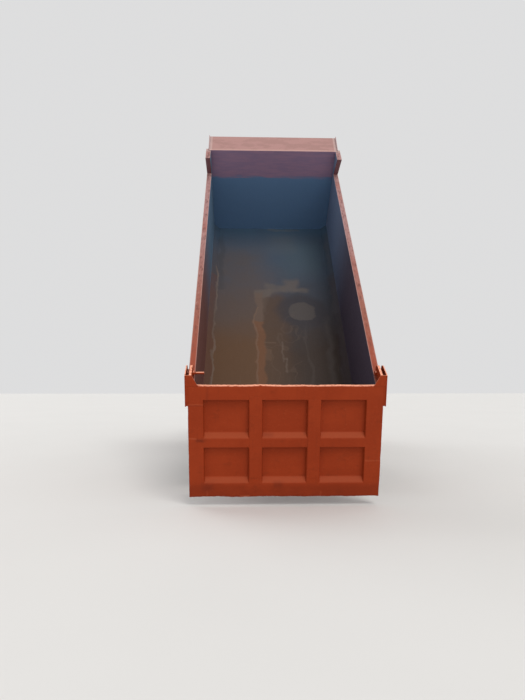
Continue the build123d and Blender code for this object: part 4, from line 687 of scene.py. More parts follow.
def face_point(x, z):
    """Point of the gate's face: pressed, dented, and ragged along its edges."""
    upper_row = z > -0.8
    broad = noise.noise(Vector((x * 2.2, z * 2.2, 3.1)))
    dent = noise.noise(Vector((x * 6.5, z * 6.5, 8.4)))
    to_side = gate_half - abs(x)
    to_top = max(0.0, 1 - (gate_top - z) / top_band)
    to_edge = max(to_top, 1 - (z - gate_bottom) / bottom_band, 1 - to_side / side_band)
    y = gate_outer - face_inset - press(x, z) + 0.003 * broad + (0.0012 + 0.003 * to_edge) * dent
    wave = noise.noise(Vector((x * 4.0, 5.0 * upper_row, 1.7)))
    wave += 0.6 * noise.noise(Vector((x * 17.0, 9.0, upper_row)))
    lift = to_top * (0.006 * wave - 0.0055) + 0.008 * (to_edge - to_top) * (z < -1.4) * (1 + wave)
    nick = 0.006 * max(0.0, 1 - to_side / nick_band) * max(0.0, noise.noise(Vector((x, z * 9.0, 4.4))))
    return x - (nick if x > 0 else -nick), y, z + lift


def gate_face():
    """Pressed face of the tailgate, with a mesh that is finer where it bends, and a flat back."""
    shape = Shape(gate)
    xs = [sign * (gate_half - at) for sign in (1, -1) for at, depth in gate_rim]
    xs += [middle + sign * (recess_half - at) for middle in recess_middles for sign in (1, -1)
           for at, depth in side_wall]
    zs = [gate_top - at for at, depth in gate_rim] + [gate_bottom + at for at, depth in gate_rim]
    for top, flat, ledge in recess_rows:
        zs += [top - at for at, depth in top_wall]
        zs += [top - flat - ledge + at * ledge / ledge_length for at, depth in ledge_slope]
    xs = spaced(xs, -gate_half, gate_half, mesh_gap)
    zs = spaced(zs, gate_bottom, gate_top, mesh_gap)
    rows = [shape.ring([face_point(x, z) for x in xs]) for z in zs]
    for low, high in zip(rows, rows[1:]):
        for at in range(len(xs) - 1):
            shape.mesh.faces.new((low[at], low[at + 1], high[at + 1], high[at]))
    rim = rows[0] + [row[-1] for row in rows[1:]] + rows[-1][-2::-1] + [row[0] for row in rows[-2:0:-1]]
    behind = gate.inverted()
    back_rim = shape.ring([(p.x, gate_inner, p.z) for p in (behind @ vertex.co for vertex in rim)])
    for at in range(len(rim)):
        after = (at + 1) % len(rim)
        shape.mesh.faces.new((rim[at], rim[after], back_rim[after], back_rim[at]))
    shape.mesh.faces.new(back_rim)
    shape.finish("tailgate_face", gate_paint, "gate", ("tailgate",), sharp=60.0)


def gate_arms():
    """Forks of the hinge with their webs and pins, and covers over the two upright ribs."""
    shape = Shape(gate)
    foot = -0.37
    web_low = -0.104
    # Outlines of the fork's plates as (back, up), and of the web between them as (out, up)
    head = [(0.052, 0.104), (0.018, 0.106), (-0.030, 0.092), (-0.044, 0.060), (-0.048, 0.0), (-0.034, -0.034),
            (0.040, -0.038)]
    outer = [(0.25, 0.026), (0.24, 0.034), *head, (0.18, -0.14), (0.2, foot), (0.25, foot)]
    inner = [(0.248, 0.022), (0.238, 0.03), *head, (0.182, -0.055), (0.182, web_low), (0.248, web_low)]
    web = [(1.252, -0.112), (1.252, 0.03), (1.17, 0.03), (1.156, 0.004), (1.106, -0.086), (1.088, web_low),
           (1.088, -0.112)]
    for sign in (1, -1):
        shape.prism(outer, "X", sign * 1.2405, sign * 1.2535)
        shape.prism(inner, "X", sign * 1.17, sign * 1.2)
        shape.prism([(sign * out, up) for out, up in web], "Y", 0.2365, 0.247)
        shape.box(sorted((sign * 1.216, sign * 1.242)), (0.202, 0.243), (foot + 0.004, web_low))
        shape.lathe([(0.0, 0.03), (0.1, 0.03), (0.103, 0.027)], (sign * 1.15, 0, 0), "X", 24, sign=sign)
    shape.lathe([(0.0, 0.012), (0.003, 0.016), (0.15, 0.016)], (1.03, 0, 0), "X", 20)
    for middle, top in ((0.3777, -0.245), (-0.3577, -0.284)):
        cover = [(-0.077, top), (0.077, top), (0.074, -1.322), (-0.079, -1.318)]
        shape.prism([(middle + across, up) for across, up in cover], "Y", 0.236, 0.2475)
    shape.finish("tailgate_arms", gate_paint, "gate", edge=0.003)


# Marks on the tailgate, among them pale and dark lines that paint the highlights and shadows of seams and
# dents: x from, x to, up from, up to, soft edge, share, colour
gate_marks = (
    (1.010, 1.230, -0.352, -0.340, 0.009, 0.40, (0.380, 0.085, 0.036)),
    (1.010, 1.230, -0.366, -0.356, 0.008, 0.50, (0.130, 0.018, 0.008)),
    (1.040, 1.130, -0.830, -0.795, 0.022, 0.65, (0.110, 0.016, 0.007)),
    (1.120, 1.215, -0.800, -0.785, 0.010, 0.45, (0.400, 0.095, 0.042)),
    (-1.220, -1.020, -1.096, -1.080, 0.010, 0.35, (0.380, 0.085, 0.036)),
    (0.960, 0.985, -0.300, -0.100, 0.020, 0.35, (0.150, 0.020, 0.008)),
    (0.930, 1.060, -1.500, -1.390, 0.040, 0.40, (0.120, 0.018, 0.008)),
    (0.020, 0.140, -1.450, -1.380, 0.030, 0.40, (0.120, 0.018, 0.008)),
    (0.985, 0.999, -1.580, -1.490, 0.009, 0.30, (0.330, 0.070, 0.030)),
    (0.450, 0.580, -1.580, -1.552, 0.010, 0.60, (0.400, 0.100, 0.045)),
    (-0.472, -0.456, -1.580, -1.500, 0.009, 0.30, (0.330, 0.070, 0.030)),
    (0.150, 0.300, -0.770, -0.730, 0.025, 0.35, (0.150, 0.022, 0.009)),
)


def gate_material():
    """Orange paint of the tailgate with runs and smudges, a painted highlight along its top edge, paler along
    its bottom edge, painted light where it faces up, and painted highlights and shadows at seams and dents.
    """
    n = Nodes("gate_paint", "orange_paint", Specular_IOR_Level=0.08)
    place = n.local(gate, gate_lean)
    x, back, up = n.axes(place)
    broad = n.noise(2.2, 5.0, 0.6, place)
    fine = n.noise(36.0, 7.0, 0.65, place)
    runs = n.noise(6.0, 5.0, 0.6, n.stretch((6.0, 1.0, 0.5), place))
    patch = n.noise(5.0, 6.0, 0.65, n.stretch((1.0, 1.0, 1.6), place))
    tilt = n.facing_up(gate_lean)
    wobble = n.scaled(patch, 0.05, -0.025)
    colour = n.layers(
        n.blend(n.step(broad, 0.3, 0.7), (0.268, 0.0345, 0.0085), (0.240, 0.0295, 0.0072)),
        (0.35, (0.175, 0.0240, 0.0065), n.step(patch, 0.56, 0.66)),
        (0.40, (0.180, 0.0240, 0.0070), n.step(runs, 0.55, 0.75)),
        (0.35, (0.340, 0.0600, 0.0220), n.step(fine, 0.58, 0.70)),
        (0.50, (0.155, 0.0200, 0.0060), n.step(up, -1.36, -1.46), n.step(broad, 0.15, 0.5)),
        # Painted light: lighter orange where the face turns up, as on the sloped ledges
        (0.70, (0.300, 0.0580, 0.0210), n.step(tilt, 0.25, 0.75)))
    colour = n.marked(colour, n.math("ADD", x, wobble), n.math("ADD", up, wobble), gate_marks)
    colour = n.layers(
        colour,
        # Painted highlight: pale pink along the top edge where it faces up
        (1.00, (0.86, 0.380, 0.250), n.step(up, gate_top - 0.020, gate_top - 0.008), n.step(fine, 0.33, 0.52),
         n.step(tilt, 0.3, 0.7)),
        (0.50, (0.40, 0.085, 0.035), n.step(up, gate_bottom + 0.012, gate_bottom + 0.004),
         n.step(patch, 0.35, 0.6)))
    n.bump((fine, 0.0008), (patch, 0.005))
    return n.finish(colour, n.scaled(fine, 0.25, 0.45))


gate_paint = gate_material()
gate_face()
gate_arms()

# Tyres: rows from the middle of the tread out to the bead: (out, radius, height of a block, row of blocks)
drive_tread = ((0.000, 0.5455, 0, 0), (0.004, 0.5455, 0, 0), (0.006, 0.5455, 0.009, 1),
               (0.026, 0.5455, 0.009, 1), (0.048, 0.5450, 0.009, 1), (0.051, 0.5450, 0, 0),
               (0.060, 0.5440, 0, 0), (0.063, 0.5440, 0.010, 2), (0.090, 0.5430, 0.010, 2),
               (0.117, 0.5380, 0.011, 2), (0.128, 0.5280, 0.006, 2), (0.136, 0.5080, 0, 0))
steer_tread = ((0.000, 0.5540, 0, 0), (0.019, 0.5540, 0, 0), (0.022, 0.5420, 0, 0), (0.030, 0.5420, 0, 0),
               (0.033, 0.5538, 0, 0), (0.062, 0.5530, 0, 0), (0.065, 0.5415, 0, 0), (0.073, 0.5415, 0, 0),
               (0.076, 0.5525, 0, 0), (0.104, 0.5500, 0, 0), (0.118, 0.5450, 0, 2), (0.128, 0.5330, 0, 2),
               (0.136, 0.5080, 0, 0))
sidewall = ((0.1395, 0.4860, 0, 0), (0.1420, 0.4820, 0, 0), (0.1420, 0.4770, 0, 0), (0.1415, 0.4720, 0, 0),
            (0.1448, 0.4300, 0, 0), (0.1430, 0.3850, 0, 0), (0.1345, 0.3420, 0, 0), (0.1355, 0.3380, 0, 0),
            (0.1300, 0.3300, 0, 0), (0.1160, 0.3020, 0, 0), (0.1040, 0.2820, 0, 0), (0.1010, 0.2650, 0, 0))
block_steps = (0.0, 0.06, 0.12, 0.50, 0.56, 0.62)
# Each kind of tyre: its rows, pitches round it, steps in a pitch, slant of the blocks
drive = (drive_tread, 46, block_steps, 1.4)
steer = (steer_tread, 96, (0.0,), 0.0)
twin_middles = (0.734, 1.066)
nut_radius = 0.0145


def raised(row, part):
    """Share of a block's height at a part of its pitch; the two rows stand half a pitch apart."""
    part = (part + (0.5 if row == 1 else 0.0)) % 1.0
    return 1.0 if 0.05 < part < 0.57 else 0.0


def tyre(shape, middle, rows, pitches, parts, slant):
    """Section of a tyre turned about the axle, with the blocks of its tread standing out."""
    half = list(rows) + list(sidewall)
    across = [(-out, *rest) for out, *rest in reversed(half[1:])] + half
    rings = []
    for out, radius, height, row in across:
        ring = []
        for turn in [(pitch + part) / pitches for pitch in range(pitches) for part in parts]:
            lift = height * raised(row, turn * pitches % 1.0) if row else 0.0
            angle = 2 * pi * turn + slant * abs(out)
            ring.append((middle + out, (radius + lift) * cos(angle), (radius + lift) * sin(angle)))
        rings.append(shape.ring(ring))
    shape.skin(rings, joined=True)


def wheel(sign, joint, body, node, name, middles, tread):
    """Tyres of one body, a single one or a pair; gives back the place of their axle."""
    at = joint_at(joint)
    axle = Matrix.Translation((0, at.y, at.z))
    shape = Shape(axle)
    for middle in middles:
        tyre(shape, sign * middle, *tread)
    shape.finish(name, rubber, body, (node,), sharp=50)
    return axle


def wheel_nuts(sign, axle, body, name, face, circle, height):
    """Ten nuts on a circle, standing out from the face of a rim."""
    shape = Shape(axle)
    for turn in turns(10):
        shape.bolt((sign * face, circle * cos(turn), circle * sin(turn)), nut_radius, height, "X", sign)
    shape.finish(name, iron, body)


def wheels():
    """Two steered wheels in front and four pairs behind."""
    for hand, sign in hands:
        end = "_" + hand
        body = hand + "_front_wheel"
        low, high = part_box("front_tyre" + end)
        middle = abs(low[0] + high[0]) / 2
        axle = wheel(sign, hand + "_front_roll", body, "front_tyre" + end, "steer_tyre" + end, (middle,),
                     steer)
        wheel_nuts(sign, axle, body, "wheel_nuts_front" + end, face=middle + 0.076, circle=0.124,
                   height=0.026)
        for row in (1, 2):
            end = "_%d_%s" % (row, hand)
            body = "rear_wheels" + end
            axle = wheel(sign, "rear_roll" + end, body, "rear_tyres" + end, "drive_tyres" + end, twin_middles,
                         drive)
            wheel_nuts(sign, axle, body, "wheel_nuts_rear" + end, face=0.930, circle=0.131, height=0.030)


wheels()


# Details of the truck, placed in its own frame unless a call names another: x, back from the front axle, up
def assemble(name, material, body, boxes=(), pipes=(), hoops=(), lathes=(), bolts=(), prisms=(), edge=0.0,
             twin=False, place=truck, slot=None):
    """One piece made of simple forms from tables, and their mirror images where it is a twin."""
    shape = Shape(place)
    for sign in (1, -1) if twin else (1,):
        for xs, backs, zs in boxes:
            shape.box(sorted(sign * x for x in xs), backs, zs)
        for points, radius in pipes:
            shape.pipe([(sign * x, y, z) for x, y, z in points], radius)
        for points, radius, normal in hoops:
            shape.hoop([(sign * x, y, z) for x, y, z in points], radius, (sign * normal[0], *normal[1:]))
        for (x, y, z), axis, profile, steps in lathes:
            shape.lathe(profile, (sign * x, y, z), axis, steps, sign=sign if axis == "X" else 1)
        for (x, y, z), radius, height, axis, way in bolts:
            shape.bolt((sign * x, y, z), radius, height, axis, way * sign if axis == "X" else way)
        for outline, axis, start, end in prisms:
            if axis == "X":
                shape.prism(outline, axis, sign * start, sign * end)
            else:
                shape.prism([(sign * a, b) for a, b in outline], axis, start, end)
    shape.finish(name, material, body, edge=edge, slot=slot)


def around(middle, half):
    return middle - half, middle + half


def past(start, width):
    return start, start + width


def disc(centre, height, radius, steps, axis="Z"):
    """Plain disc for the lathes of a piece."""
    return centre, axis, ((0.0, radius), (height, radius)), steps


def staple(foot, out, reach, radius, steps=4):
    """Line of a bar that goes out from its foot, along, and back in: a handle, hook, clip or rung."""
    foot, out, reach = Vector(foot), Vector(out), Vector(reach)
    return rounded([foot, foot + out, foot + out + reach, foot + reach], radius, steps)


def round_box(xs, zs, radius, grow=0.0):
    """Outline of a rectangle with round corners, grown on all sides."""
    (x0, x1), (z0, z1) = xs, zs
    corners = [(x0 - grow, z0 - grow, 0), (x1 + grow, z0 - grow, 0), (x1 + grow, z1 + grow, 0),
               (x0 - grow, z1 + grow, 0)]
    return [(p.x, p.y) for p in rounded(corners, radius + grow, 5, closed=True)]


def round_loop(back, *box):
    """Points of a round box at one distance back."""
    return [(x, back, z) for x, z in round_box(*box)]


# Windscreen: back and up of its foot, and how far it goes back and up for each metre along it
screen_foot = (-1.294, 1.791)
screen_back = 0.2102
screen_rise = 0.9777


def on_screen(x, up, out):
    """A point over the windscreen: across it, up it from its foot, and out from its face."""
    back, height = screen_foot
    return (x, back + screen_back * up - screen_rise * out, height + screen_rise * up + screen_back * out)


def screen_details():
    """Seals of the front and rear screens, and the wipers."""
    corners = ((-1.13, 0.012), (1.13, 0.012), (1.13, 0.93), (-1.13, 0.93))
    front = rounded([on_screen(x, up, 0.001) for x, up in corners], 0.045, 5, closed=True)
    rear = round_loop(0.549, (-0.482, 0.482), (2.058, 2.522), 0.05)
    assemble("screen_seals", soft_rubber, "cab",
             hoops=((front, 0.012, (0, -screen_rise, screen_back)), (rear, 0.012, (0, 1, 0))))
    bars = []
    hubs = []
    hub = ((-0.026, 0.010), (-0.022, 0.016), (0.0, 0.020))
    arm = ((0.0, -0.010, 0.004), (0.0, -0.010, 0.026), (0.20, 0.085, 0.026), (0.42, 0.100, 0.022))
    for pivot in (-0.62, 0.30):
        bars.append((rounded([on_screen(pivot + x, up, out) for x, up, out in arm], 0.02), 0.006))
        for ends, out, radius in (((0.12, 0.72), 0.019, 0.005), ((0.06, 0.78), 0.010, 0.006)):
            bars.append(([on_screen(pivot + x, 0.100, out) for x in ends], radius))
        hubs.append((on_screen(pivot, -0.010, 0.002), "Y", hub, 20))
    assemble("wipers", plastic, "cab", pipes=bars, lathes=hubs)


def cab_details():
    """Lamps, rails, mirror glass and roof ribs of the cab."""
    markers = [(around(x, 0.045), (-1.285, -1.235), (2.655, 2.693)) for x in (-0.92, -0.46, 0.0, 0.46, 0.92)]
    assemble("roof_markers", amber_lens, "cab", boxes=markers, edge=0.010)
    assemble("corner_lamps", amber_lens, "cab", edge=0.004, twin=True,
             boxes=(((1.144, 1.190), (-1.308, -1.296), (1.080, 1.260)),
                    ((1.197, 1.208), (0.180, 0.270), (1.470, 1.510))))
    rail = staple((1.198, 0.025, 1.33), (0.044, 0, 0), (0, 0, 0.87), 0.035, 5)
    foot = ((0.0, 0.026), (0.006, 0.026), (0.010, 0.018))
    assemble("grab_rails", plastic, "cab", pipes=[(rail, 0.014)], twin=True,
             lathes=[((1.199, 0.025, z), "X", foot, 20) for z in (1.33, 2.2)])
    panes = [((1.292, 1.448), zs, 0.020) for zs in ((2.010, 2.248), (1.882, 1.994))]
    assemble("mirror_glass", mirror, "cab", twin=True,
             prisms=[(round_box(*pane), "Y", -1.2055, -1.2025) for pane in panes])
    arms = [(rounded([(1.29, -1.23, z), (1.33, -1.24, z), (1.33, -1.24, z + rise)], 0.02), 0.010)
            for z, rise in ((1.640, 0.240), (2.345, -0.060))]
    assemble("mirror_frames", plastic, "cab", pipes=arms, twin=True,
             hoops=[(round_loop(-1.205, *pane, 0.002), 0.004, (0, 1, 0)) for pane in panes])
    ribs = [(around(x, 0.012), (-0.690, 0.520), (2.895, 2.9035)) for x in (-0.84, -0.42, 0.0, 0.42, 0.84)]
    assemble("roof_ribs", cab_paint, "cab", boxes=ribs, edge=0.003)


def door_details(hand, sign):
    """Seals, handle, armrest, pocket and winder of one door, all given for the left side."""
    body = hand + "_door"
    side = truck @ Matrix.Scale(sign, 4, (1, 0, 0))
    window = ((-1.104, 1.876), (-0.978, 2.563), (-0.146, 2.599), (-0.146, 1.876))
    seals = [(rounded([(x, back, up) for back, up in window], 0.035, 5, closed=True), radius, (1, 0, 0))
             for x, radius in ((1.2, 0.010), (1.14, 0.008))]
    assemble("door_seals_" + hand, soft_rubber, body, hoops=seals, place=side)
    assemble("door_handle_" + hand, plastic, body, edge=0.003, place=side,
             boxes=(((1.1995, 1.2035), (-0.290, -0.115), (1.640, 1.715)),
                    ((1.2030, 1.2220), (-0.280, -0.262), (1.666, 1.690)),
                    ((1.2030, 1.2220), (-0.150, -0.132), (1.666, 1.690)),
                    ((1.2180, 1.2290), (-0.284, -0.128), (1.664, 1.692))),
             lathes=(((1.2030, -0.205, 1.655), "X", ((0.0, 0.010), (0.005, 0.010), (0.006, 0.007)), 20),))
    assemble("door_trim_" + hand, inner_plastic, body, edge=0.008, place=side,
             boxes=(((1.1260, 1.1402), (-1.060, -0.130), (1.290, 1.560)),
                    ((1.0800, 1.1402), (-0.780, -0.330), (1.600, 1.660)),
                    ((1.1050, 1.1402), (-1.000, -0.450), (1.300, 1.430)),
                    ((1.1180, 1.1402), (-0.300, -0.170), (1.640, 1.700))))
    assemble("door_winder_" + hand, plastic, body, edge=0.003, place=side,
             boxes=(((1.1100, 1.1262), (-0.285, -0.185), (1.662, 1.678)),),
             lathes=(((1.1402, -0.860, 1.610), "X", ((-0.030, 0.014), (-0.022, 0.024), (0.0, 0.026)), 20),))


def dashboard_details():
    """Hood, vents, switches, levers and instruments."""
    hood = [(-1.080, 1.836), (-1.050, 1.915), (-0.900, 1.940), (-0.870, 1.930), (-0.880, 1.920),
            (-0.930, 1.920), (-0.950, 1.828)]
    boxes = [(past(-0.150 + 0.050 * column, 0.038), (-0.880, -0.858), past(1.610 + 0.034 * row, 0.022))
             for column in range(7) for row in range(3)]
    for vent in (-0.96, -0.30, 0.30, 1.00):
        boxes.append((around(vent, 0.065), (-0.885, -0.860), (1.690, 1.745)))
        boxes += [(around(vent, 0.058), (-0.862, -0.855), past(1.700 + 0.012 * slat, 0.004))
                  for slat in range(4)]
    assemble("dash_details", plastic, "cab", boxes=boxes, prisms=[(hood, "X", 0.480, 0.920)], edge=0.0015)
    lever = rounded([(0.360, -0.470, 1.438), (0.360, -0.480, 1.600), (0.375, -0.530, 1.730)], 0.06)
    knob = ((0.0, 0.012), (0.010, 0.022), (0.030, 0.026), (0.050, 0.020), (0.056, 0.006))
    boot = ((0.0, 0.070), (0.015, 0.058), (0.020, 0.060), (0.040, 0.040), (0.046, 0.042), (0.070, 0.018))
    stalks = [(((x, -0.700, 1.850), (tip, -0.705, 1.865)), 0.007) for x, tip in ((0.6, 0.5), (0.8, 0.9))]
    assemble("cab_controls", plastic, "cab", pipes=[(lever, 0.009), *stalks],
             boxes=[((0.640, 0.760), (-0.865, -0.780), (1.700, 1.780))],
             lathes=[((0.375, -0.530, 1.720), "Z", knob, 20), ((0.360, -0.470, 1.436), "Z", boot, 24)])
    dials = []
    needles = []
    for x, radius in ((0.560, 0.028), (0.645, 0.038), (0.755, 0.038), (0.840, 0.028)):
        face = ((0.0, radius), (0.012, radius), (0.013, radius - 0.004))
        dials.append(((x, -0.945, 1.877), "Y", face, 32))
        needles.append((around(x, 0.0012), (-0.9322, -0.9305), past(1.877, radius * 0.8)))
    assemble("dials", dial_face, "cab", lathes=dials)
    assemble("dial_needles", red_lens, "cab", boxes=needles)


def pedals():
    """Three pedals with treads, on their stems."""
    boxes = []
    stems = []
    for x in (0.560, 0.700, 0.840):
        boxes.append((around(x, 0.035), (-1.050, -1.036), (1.260, 1.350)))
        boxes += [(around(x, 0.032), (-1.037, -1.031), past(1.275 + 0.020 * row, 0.006)) for row in range(4)]
        stems.append((((x, -1.045, 1.340), (x, -1.075, 1.480)), 0.010))
    assemble("pedals", iron, "cab", boxes=boxes, pipes=stems, edge=0.002)


def front_details():
    """Mesh behind the grille, latches, lamp bowls, the blank plate and the treads of the steps."""
    wires = [(past(-0.630 + 0.021 * step, 0.003), (-1.2860, -1.2835), (1.066, 1.560)) for step in range(61)]
    wires += [((-0.640, 0.640), (-1.2835, -1.2810), past(1.080 + 0.021 * step, 0.003)) for step in range(23)]
    assemble("grille_mesh", plastic, "service_panel", boxes=wires)
    latches = [((0.9, -1.3, 0.985), 0.016, 0.012, "Y", -1), ((0.96, -1.3, 1.64), 0.012, 0.008, "Y", -1)]
    assemble("panel_latches", iron, "service_panel", bolts=latches, twin=True)
    ribs = [((0.700, 1.100), (-1.3035, -1.2990), past(1.050 + 0.085 * step, 0.008)) for step in range(7)]
    assemble("panel_ribs", orange, "service_panel", boxes=ribs, edge=0.002, twin=True)
    bowl = ((0.042, 0.046), (0.0, 0.064), (0.001, 0.061), (0.018, 0.050), (0.030, 0.030), (0.035, 0.014),
            (0.020, 0.013), (0.012, 0.009))
    small = [(deep * 0.6, radius * 0.52) for deep, radius in bowl]
    bowls = [((x, -1.3385, 0.645), "Y", bowl, 36) for x in (0.902, 1.038)]
    bowls.append(((0.970, -1.3385, 0.496), "Y", small, 28))
    assemble("lamp_bowls", mirror, "chassis", lathes=bowls, twin=True, slot="lamp")
    plate = ((-0.254, 0.254), (-1.3475, -1.3436), (0.590, 0.695))
    assemble("front_plate", plate_white, "chassis", boxes=[plate], edge=0.001)
    frames = [(round_loop(-1.345, xs, zs, 0.012), 0.0048, (0, -1, 0))
              for xs, zs in (((0.830, 1.110), (0.560, 0.730)), ((0.880, 1.060), (0.458, 0.535)))]
    eyes = [((0.5, -1.3464, 0.64), "Y", ((-0.0035, 0.034), (0.030, 0.034)), 24)]
    assemble("bumper_trim", plastic, "chassis", hoops=frames, lathes=eyes, twin=True)
    treads = []
    for low in (0.540, 0.830):
        treads.append(((1.014, 1.160), (-1.134, -0.756), past(low, 0.010)))
        treads += [((1.018, 1.156), past(-1.120 + 0.030 * step, 0.008), past(low + 0.009, 0.007))
                   for step in range(12)]
    assemble("step_treads", tank_metal, "chassis", boxes=treads, twin=True)


# Cushions of the seats: middle, half sizes across, along and through, lean, lines of the seams across
pads = (
    ("cushion", (-0.318, 1.540), (0.243, 0.238, 0.044), 0.0, (-0.120, 0.120)),
    ("back", (0.015, 1.860), (0.243, 0.264, 0.038), 76.7, (-0.120, 0.120)),
    ("head", (0.081, 2.2325), (0.124, 0.074, 0.026), 78.0, ()),
)
# How far a pad's edges are pulled in, how much lower its rim is, and how far it may swell
pad_pull = 0.05
pad_crown = 0.25
pad_swell = 0.016
swell_frames = 15
pad_voxel = 0.018
seam_width = 0.010
seat_middle = 0.7


def evaluated(thing):
    return thing.evaluated_get(bpy.context.evaluated_depsgraph_get())


def swell(thing):
    """Pumps a pad up as cloth over foam, and keeps each point within a short way of its place."""
    cloth_fit = thing.modifiers.new("cloth", "CLOTH")
    cloth_fit.settings.use_pressure = True
    cloth_fit.settings.uniform_pressure_force = 4.0
    cloth_fit.settings.effector_weights.gravity = 0.0
    for step in range(1, swell_frames + 1):
        scene.frame_set(step)
    moved = [vertex.co.copy() for vertex in evaluated(thing).data.vertices]
    thing.modifiers.remove(cloth_fit)
    for vertex, spot in zip(thing.data.vertices, moved):
        way = spot - vertex.co
        vertex.co += way * min(1.0, pad_swell / max(way.length, 1e-9))
    scene.frame_set(1)


def hill(distance, width):
    """Height of a smooth hill, 1 at its top."""
    return exp(-(distance / width) ** 2)


def sew(mesh, half, seams):
    """Sinks the seams into a pad's face, raises the piping round it, and keeps it within its box."""
    limit = [at + pad_swell for at in half]
    for vertex in mesh.vertices:
        co = vertex.co
        top = max(0.0, min(1.0, co.z / half[2]))
        for line in seams:
            co.z -= 0.010 * top * hill(co.x - line, seam_width)
        if seams:
            co.z -= 0.008 * top * hill(co.y + half[1] * 0.34, seam_width)
        piping = 0.005 * hill(co.z, 0.007)
        for axis in (0, 1):
            rim = half[axis] * 0.9
            co[axis] += piping * (co[axis] > rim) - piping * (co[axis] < -rim)
        for axis in range(3):
            co[axis] = max(-limit[axis], min(limit[axis], co[axis]))


def seat_pad(name, middle, half, lean, seams):
    """One crowned pad as a mesh, with its sewn seams and a piped edge, and its place in a seat."""
    source = bmesh.new()
    bmesh.ops.create_cube(source, size=2.0)
    bmesh.ops.subdivide_edges(source, edges=source.edges, cuts=3, use_grid_fill=True)
    for vertex in source.verts:
        x, y, z = vertex.co
        pulled = 1.0 - pad_pull * (1.0 - abs(x)) * (abs(y) > 0.9) - pad_pull * (1.0 - abs(y)) * (abs(x) > 0.9)
        crowned = 1.0 - pad_crown * max(abs(x), abs(y)) ** 4
        vertex.co = Vector((x * half[0] * pulled, y * half[1] * pulled, z * half[2] * crowned))
    data = bpy.data.meshes.new("pad_" + name)
    source.to_mesh(data)
    source.free()
    thing = link("pad_" + name, data)
    even = thing.modifiers.new("even", "REMESH")
    even.mode = "VOXEL"
    even.voxel_size = pad_voxel
    remeshed = bpy.data.meshes.new_from_object(evaluated(thing))
    thing.modifiers.clear()
    thing.data = remeshed
    swell(thing)
    smooth = thing.modifiers.new("smooth", "SUBSURF")
    smooth.levels = smooth.render_levels = 1
    final = bpy.data.meshes.new_from_object(evaluated(thing))
    bpy.data.objects.remove(thing)
    sew(final, half, seams)
    return name, truck @ Matrix.Translation((0, *middle)) @ Matrix.Rotation(radians(lean), 4, "X"), final


def seat_base(name, middle):
    """Base, bellows, side covers and the posts of the head rest."""
    boxes = [(around(middle, 0.200), (-0.460, -0.120), (1.2205, 1.262)),
             (around(middle, 0.170), (-0.430, -0.150), (1.440, 1.486))]
    boxes += [(around(middle + side, 0.0125), (-0.440, -0.140), (1.300, 1.470)) for side in (-0.2175, 0.2175)]
    for fold in range(12):
        inset = 0.008 * (fold % 2)
        boxes.append((around(middle, 0.170 - inset), (-0.430 + inset, -0.150 - inset),
                      past(1.262 + 0.0148 * fold, 0.0148)))
    posts = [(((x, 0.052, 2.110), (x, 0.070, 2.190)), 0.008) for x in around(middle, 0.060)]
    assemble(name, plastic, "cab", boxes=boxes, pipes=posts, edge=0.003)


def seats():
    """Both seats: pads in cloth on a base of plastic."""
    made = [seat_pad(*pad) for pad in pads]
    for hand, sign in hands:
        for name, place, mesh in made:
            data = mesh.copy()
            data.transform(Matrix.Translation((sign * seat_middle, 0, 0)) @ place)
            data.polygons.foreach_set("use_smooth", [True] * len(data.polygons))
            data.materials.clear()
            data.materials.append(cloth)
            thing = link("seat_%s_%s" % (name, hand), data)
            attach(thing, "cab")
            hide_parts("seats")
        seat_base("seat_base_" + hand, sign * seat_middle)


def frame_details():
    """Bolts of the frame, and the clips, nuts and bands of the leaf springs."""
    bolts = []
    for back in (-1.000, 1.180, 2.080, 2.980, 4.475, 5.500):
        bolts += [((0.425, spot, z), 0.013, 0.014, "X", 1)
                  for spot in around(back, 0.035) for z in (0.90, 0.95)]
    bolts += [((0.470, 4.295 + 0.120 * step, z), 0.014, 0.016, "X", 1)
              for step in range(4) for z in (0.86, 0.92)]
    bolts += [((0.425, back, 0.985), 0.010, 0.012, "X", 1) for back in (0.560, 3.400, 3.900, 5.050)]
    assemble("frame_bolts", iron, "chassis", bolts=bolts, twin=True)
    clips = []
    nuts = []
    for xs, backs, low, nut, high in (((0.335, 0.435), (-0.062, 0.062), 0.420, 0.438, 0.668),
                                      ((0.462, 0.568), (4.390, 4.560), 0.520, 0.545, 0.846)):
        for back in backs:
            clips.append((staple((xs[0], back, low), (0, 0, high - low), (xs[1] - xs[0], 0, 0), 0.02), 0.009))
            nuts += [((x, back, nut), 0.014, 0.018, "Z", -1) for x in xs]
    bands = [((0.341, 0.429), past(back, 0.030), (0.577, 0.652)) for back in (-0.420, 0.390)]
    bands += [((0.466, 0.564), past(back, 0.035), (0.745, 0.830)) for back in (4.200, 4.715)]
    assemble("spring_clips", iron, "chassis", pipes=clips, bolts=nuts, boxes=bands, edge=0.0015, twin=True)


def axle_details():
    """Brake chambers and the flanges of the propeller shafts."""
    pot = ((0.0, 0.050), (0.012, 0.070), (0.055, 0.076), (0.060, 0.081), (0.072, 0.081), (0.077, 0.076),
           (0.125, 0.070), (0.150, 0.045), (0.156, 0.020))
    axles = (3.800, 5.150)
    assemble("brake_pots", iron, "chassis", twin=True,
             pipes=[(((0.330, axle + 0.090, 0.600), (0.330, axle + 0.020, 0.585)), 0.010) for axle in axles],
             lathes=[((0.330, axle + 0.085, 0.600), "Y", pot, 28) for axle in axles],
             boxes=[((0.285, 0.375), around(axle + 0.080, 0.006), (0.540, 0.660)) for axle in axles])
    flange = ((0.0, 0.082), (0.010, 0.085), (0.022, 0.085), (0.026, 0.080))
    flanges = [((0.0, back, z), "Y", flange, 32)
               for back, z in ((0.643, 0.735), (3.440, 0.598), (4.066, 0.598), (4.790, 0.596))]
    assemble("shaft_flanges", iron, "chassis", lathes=flanges)


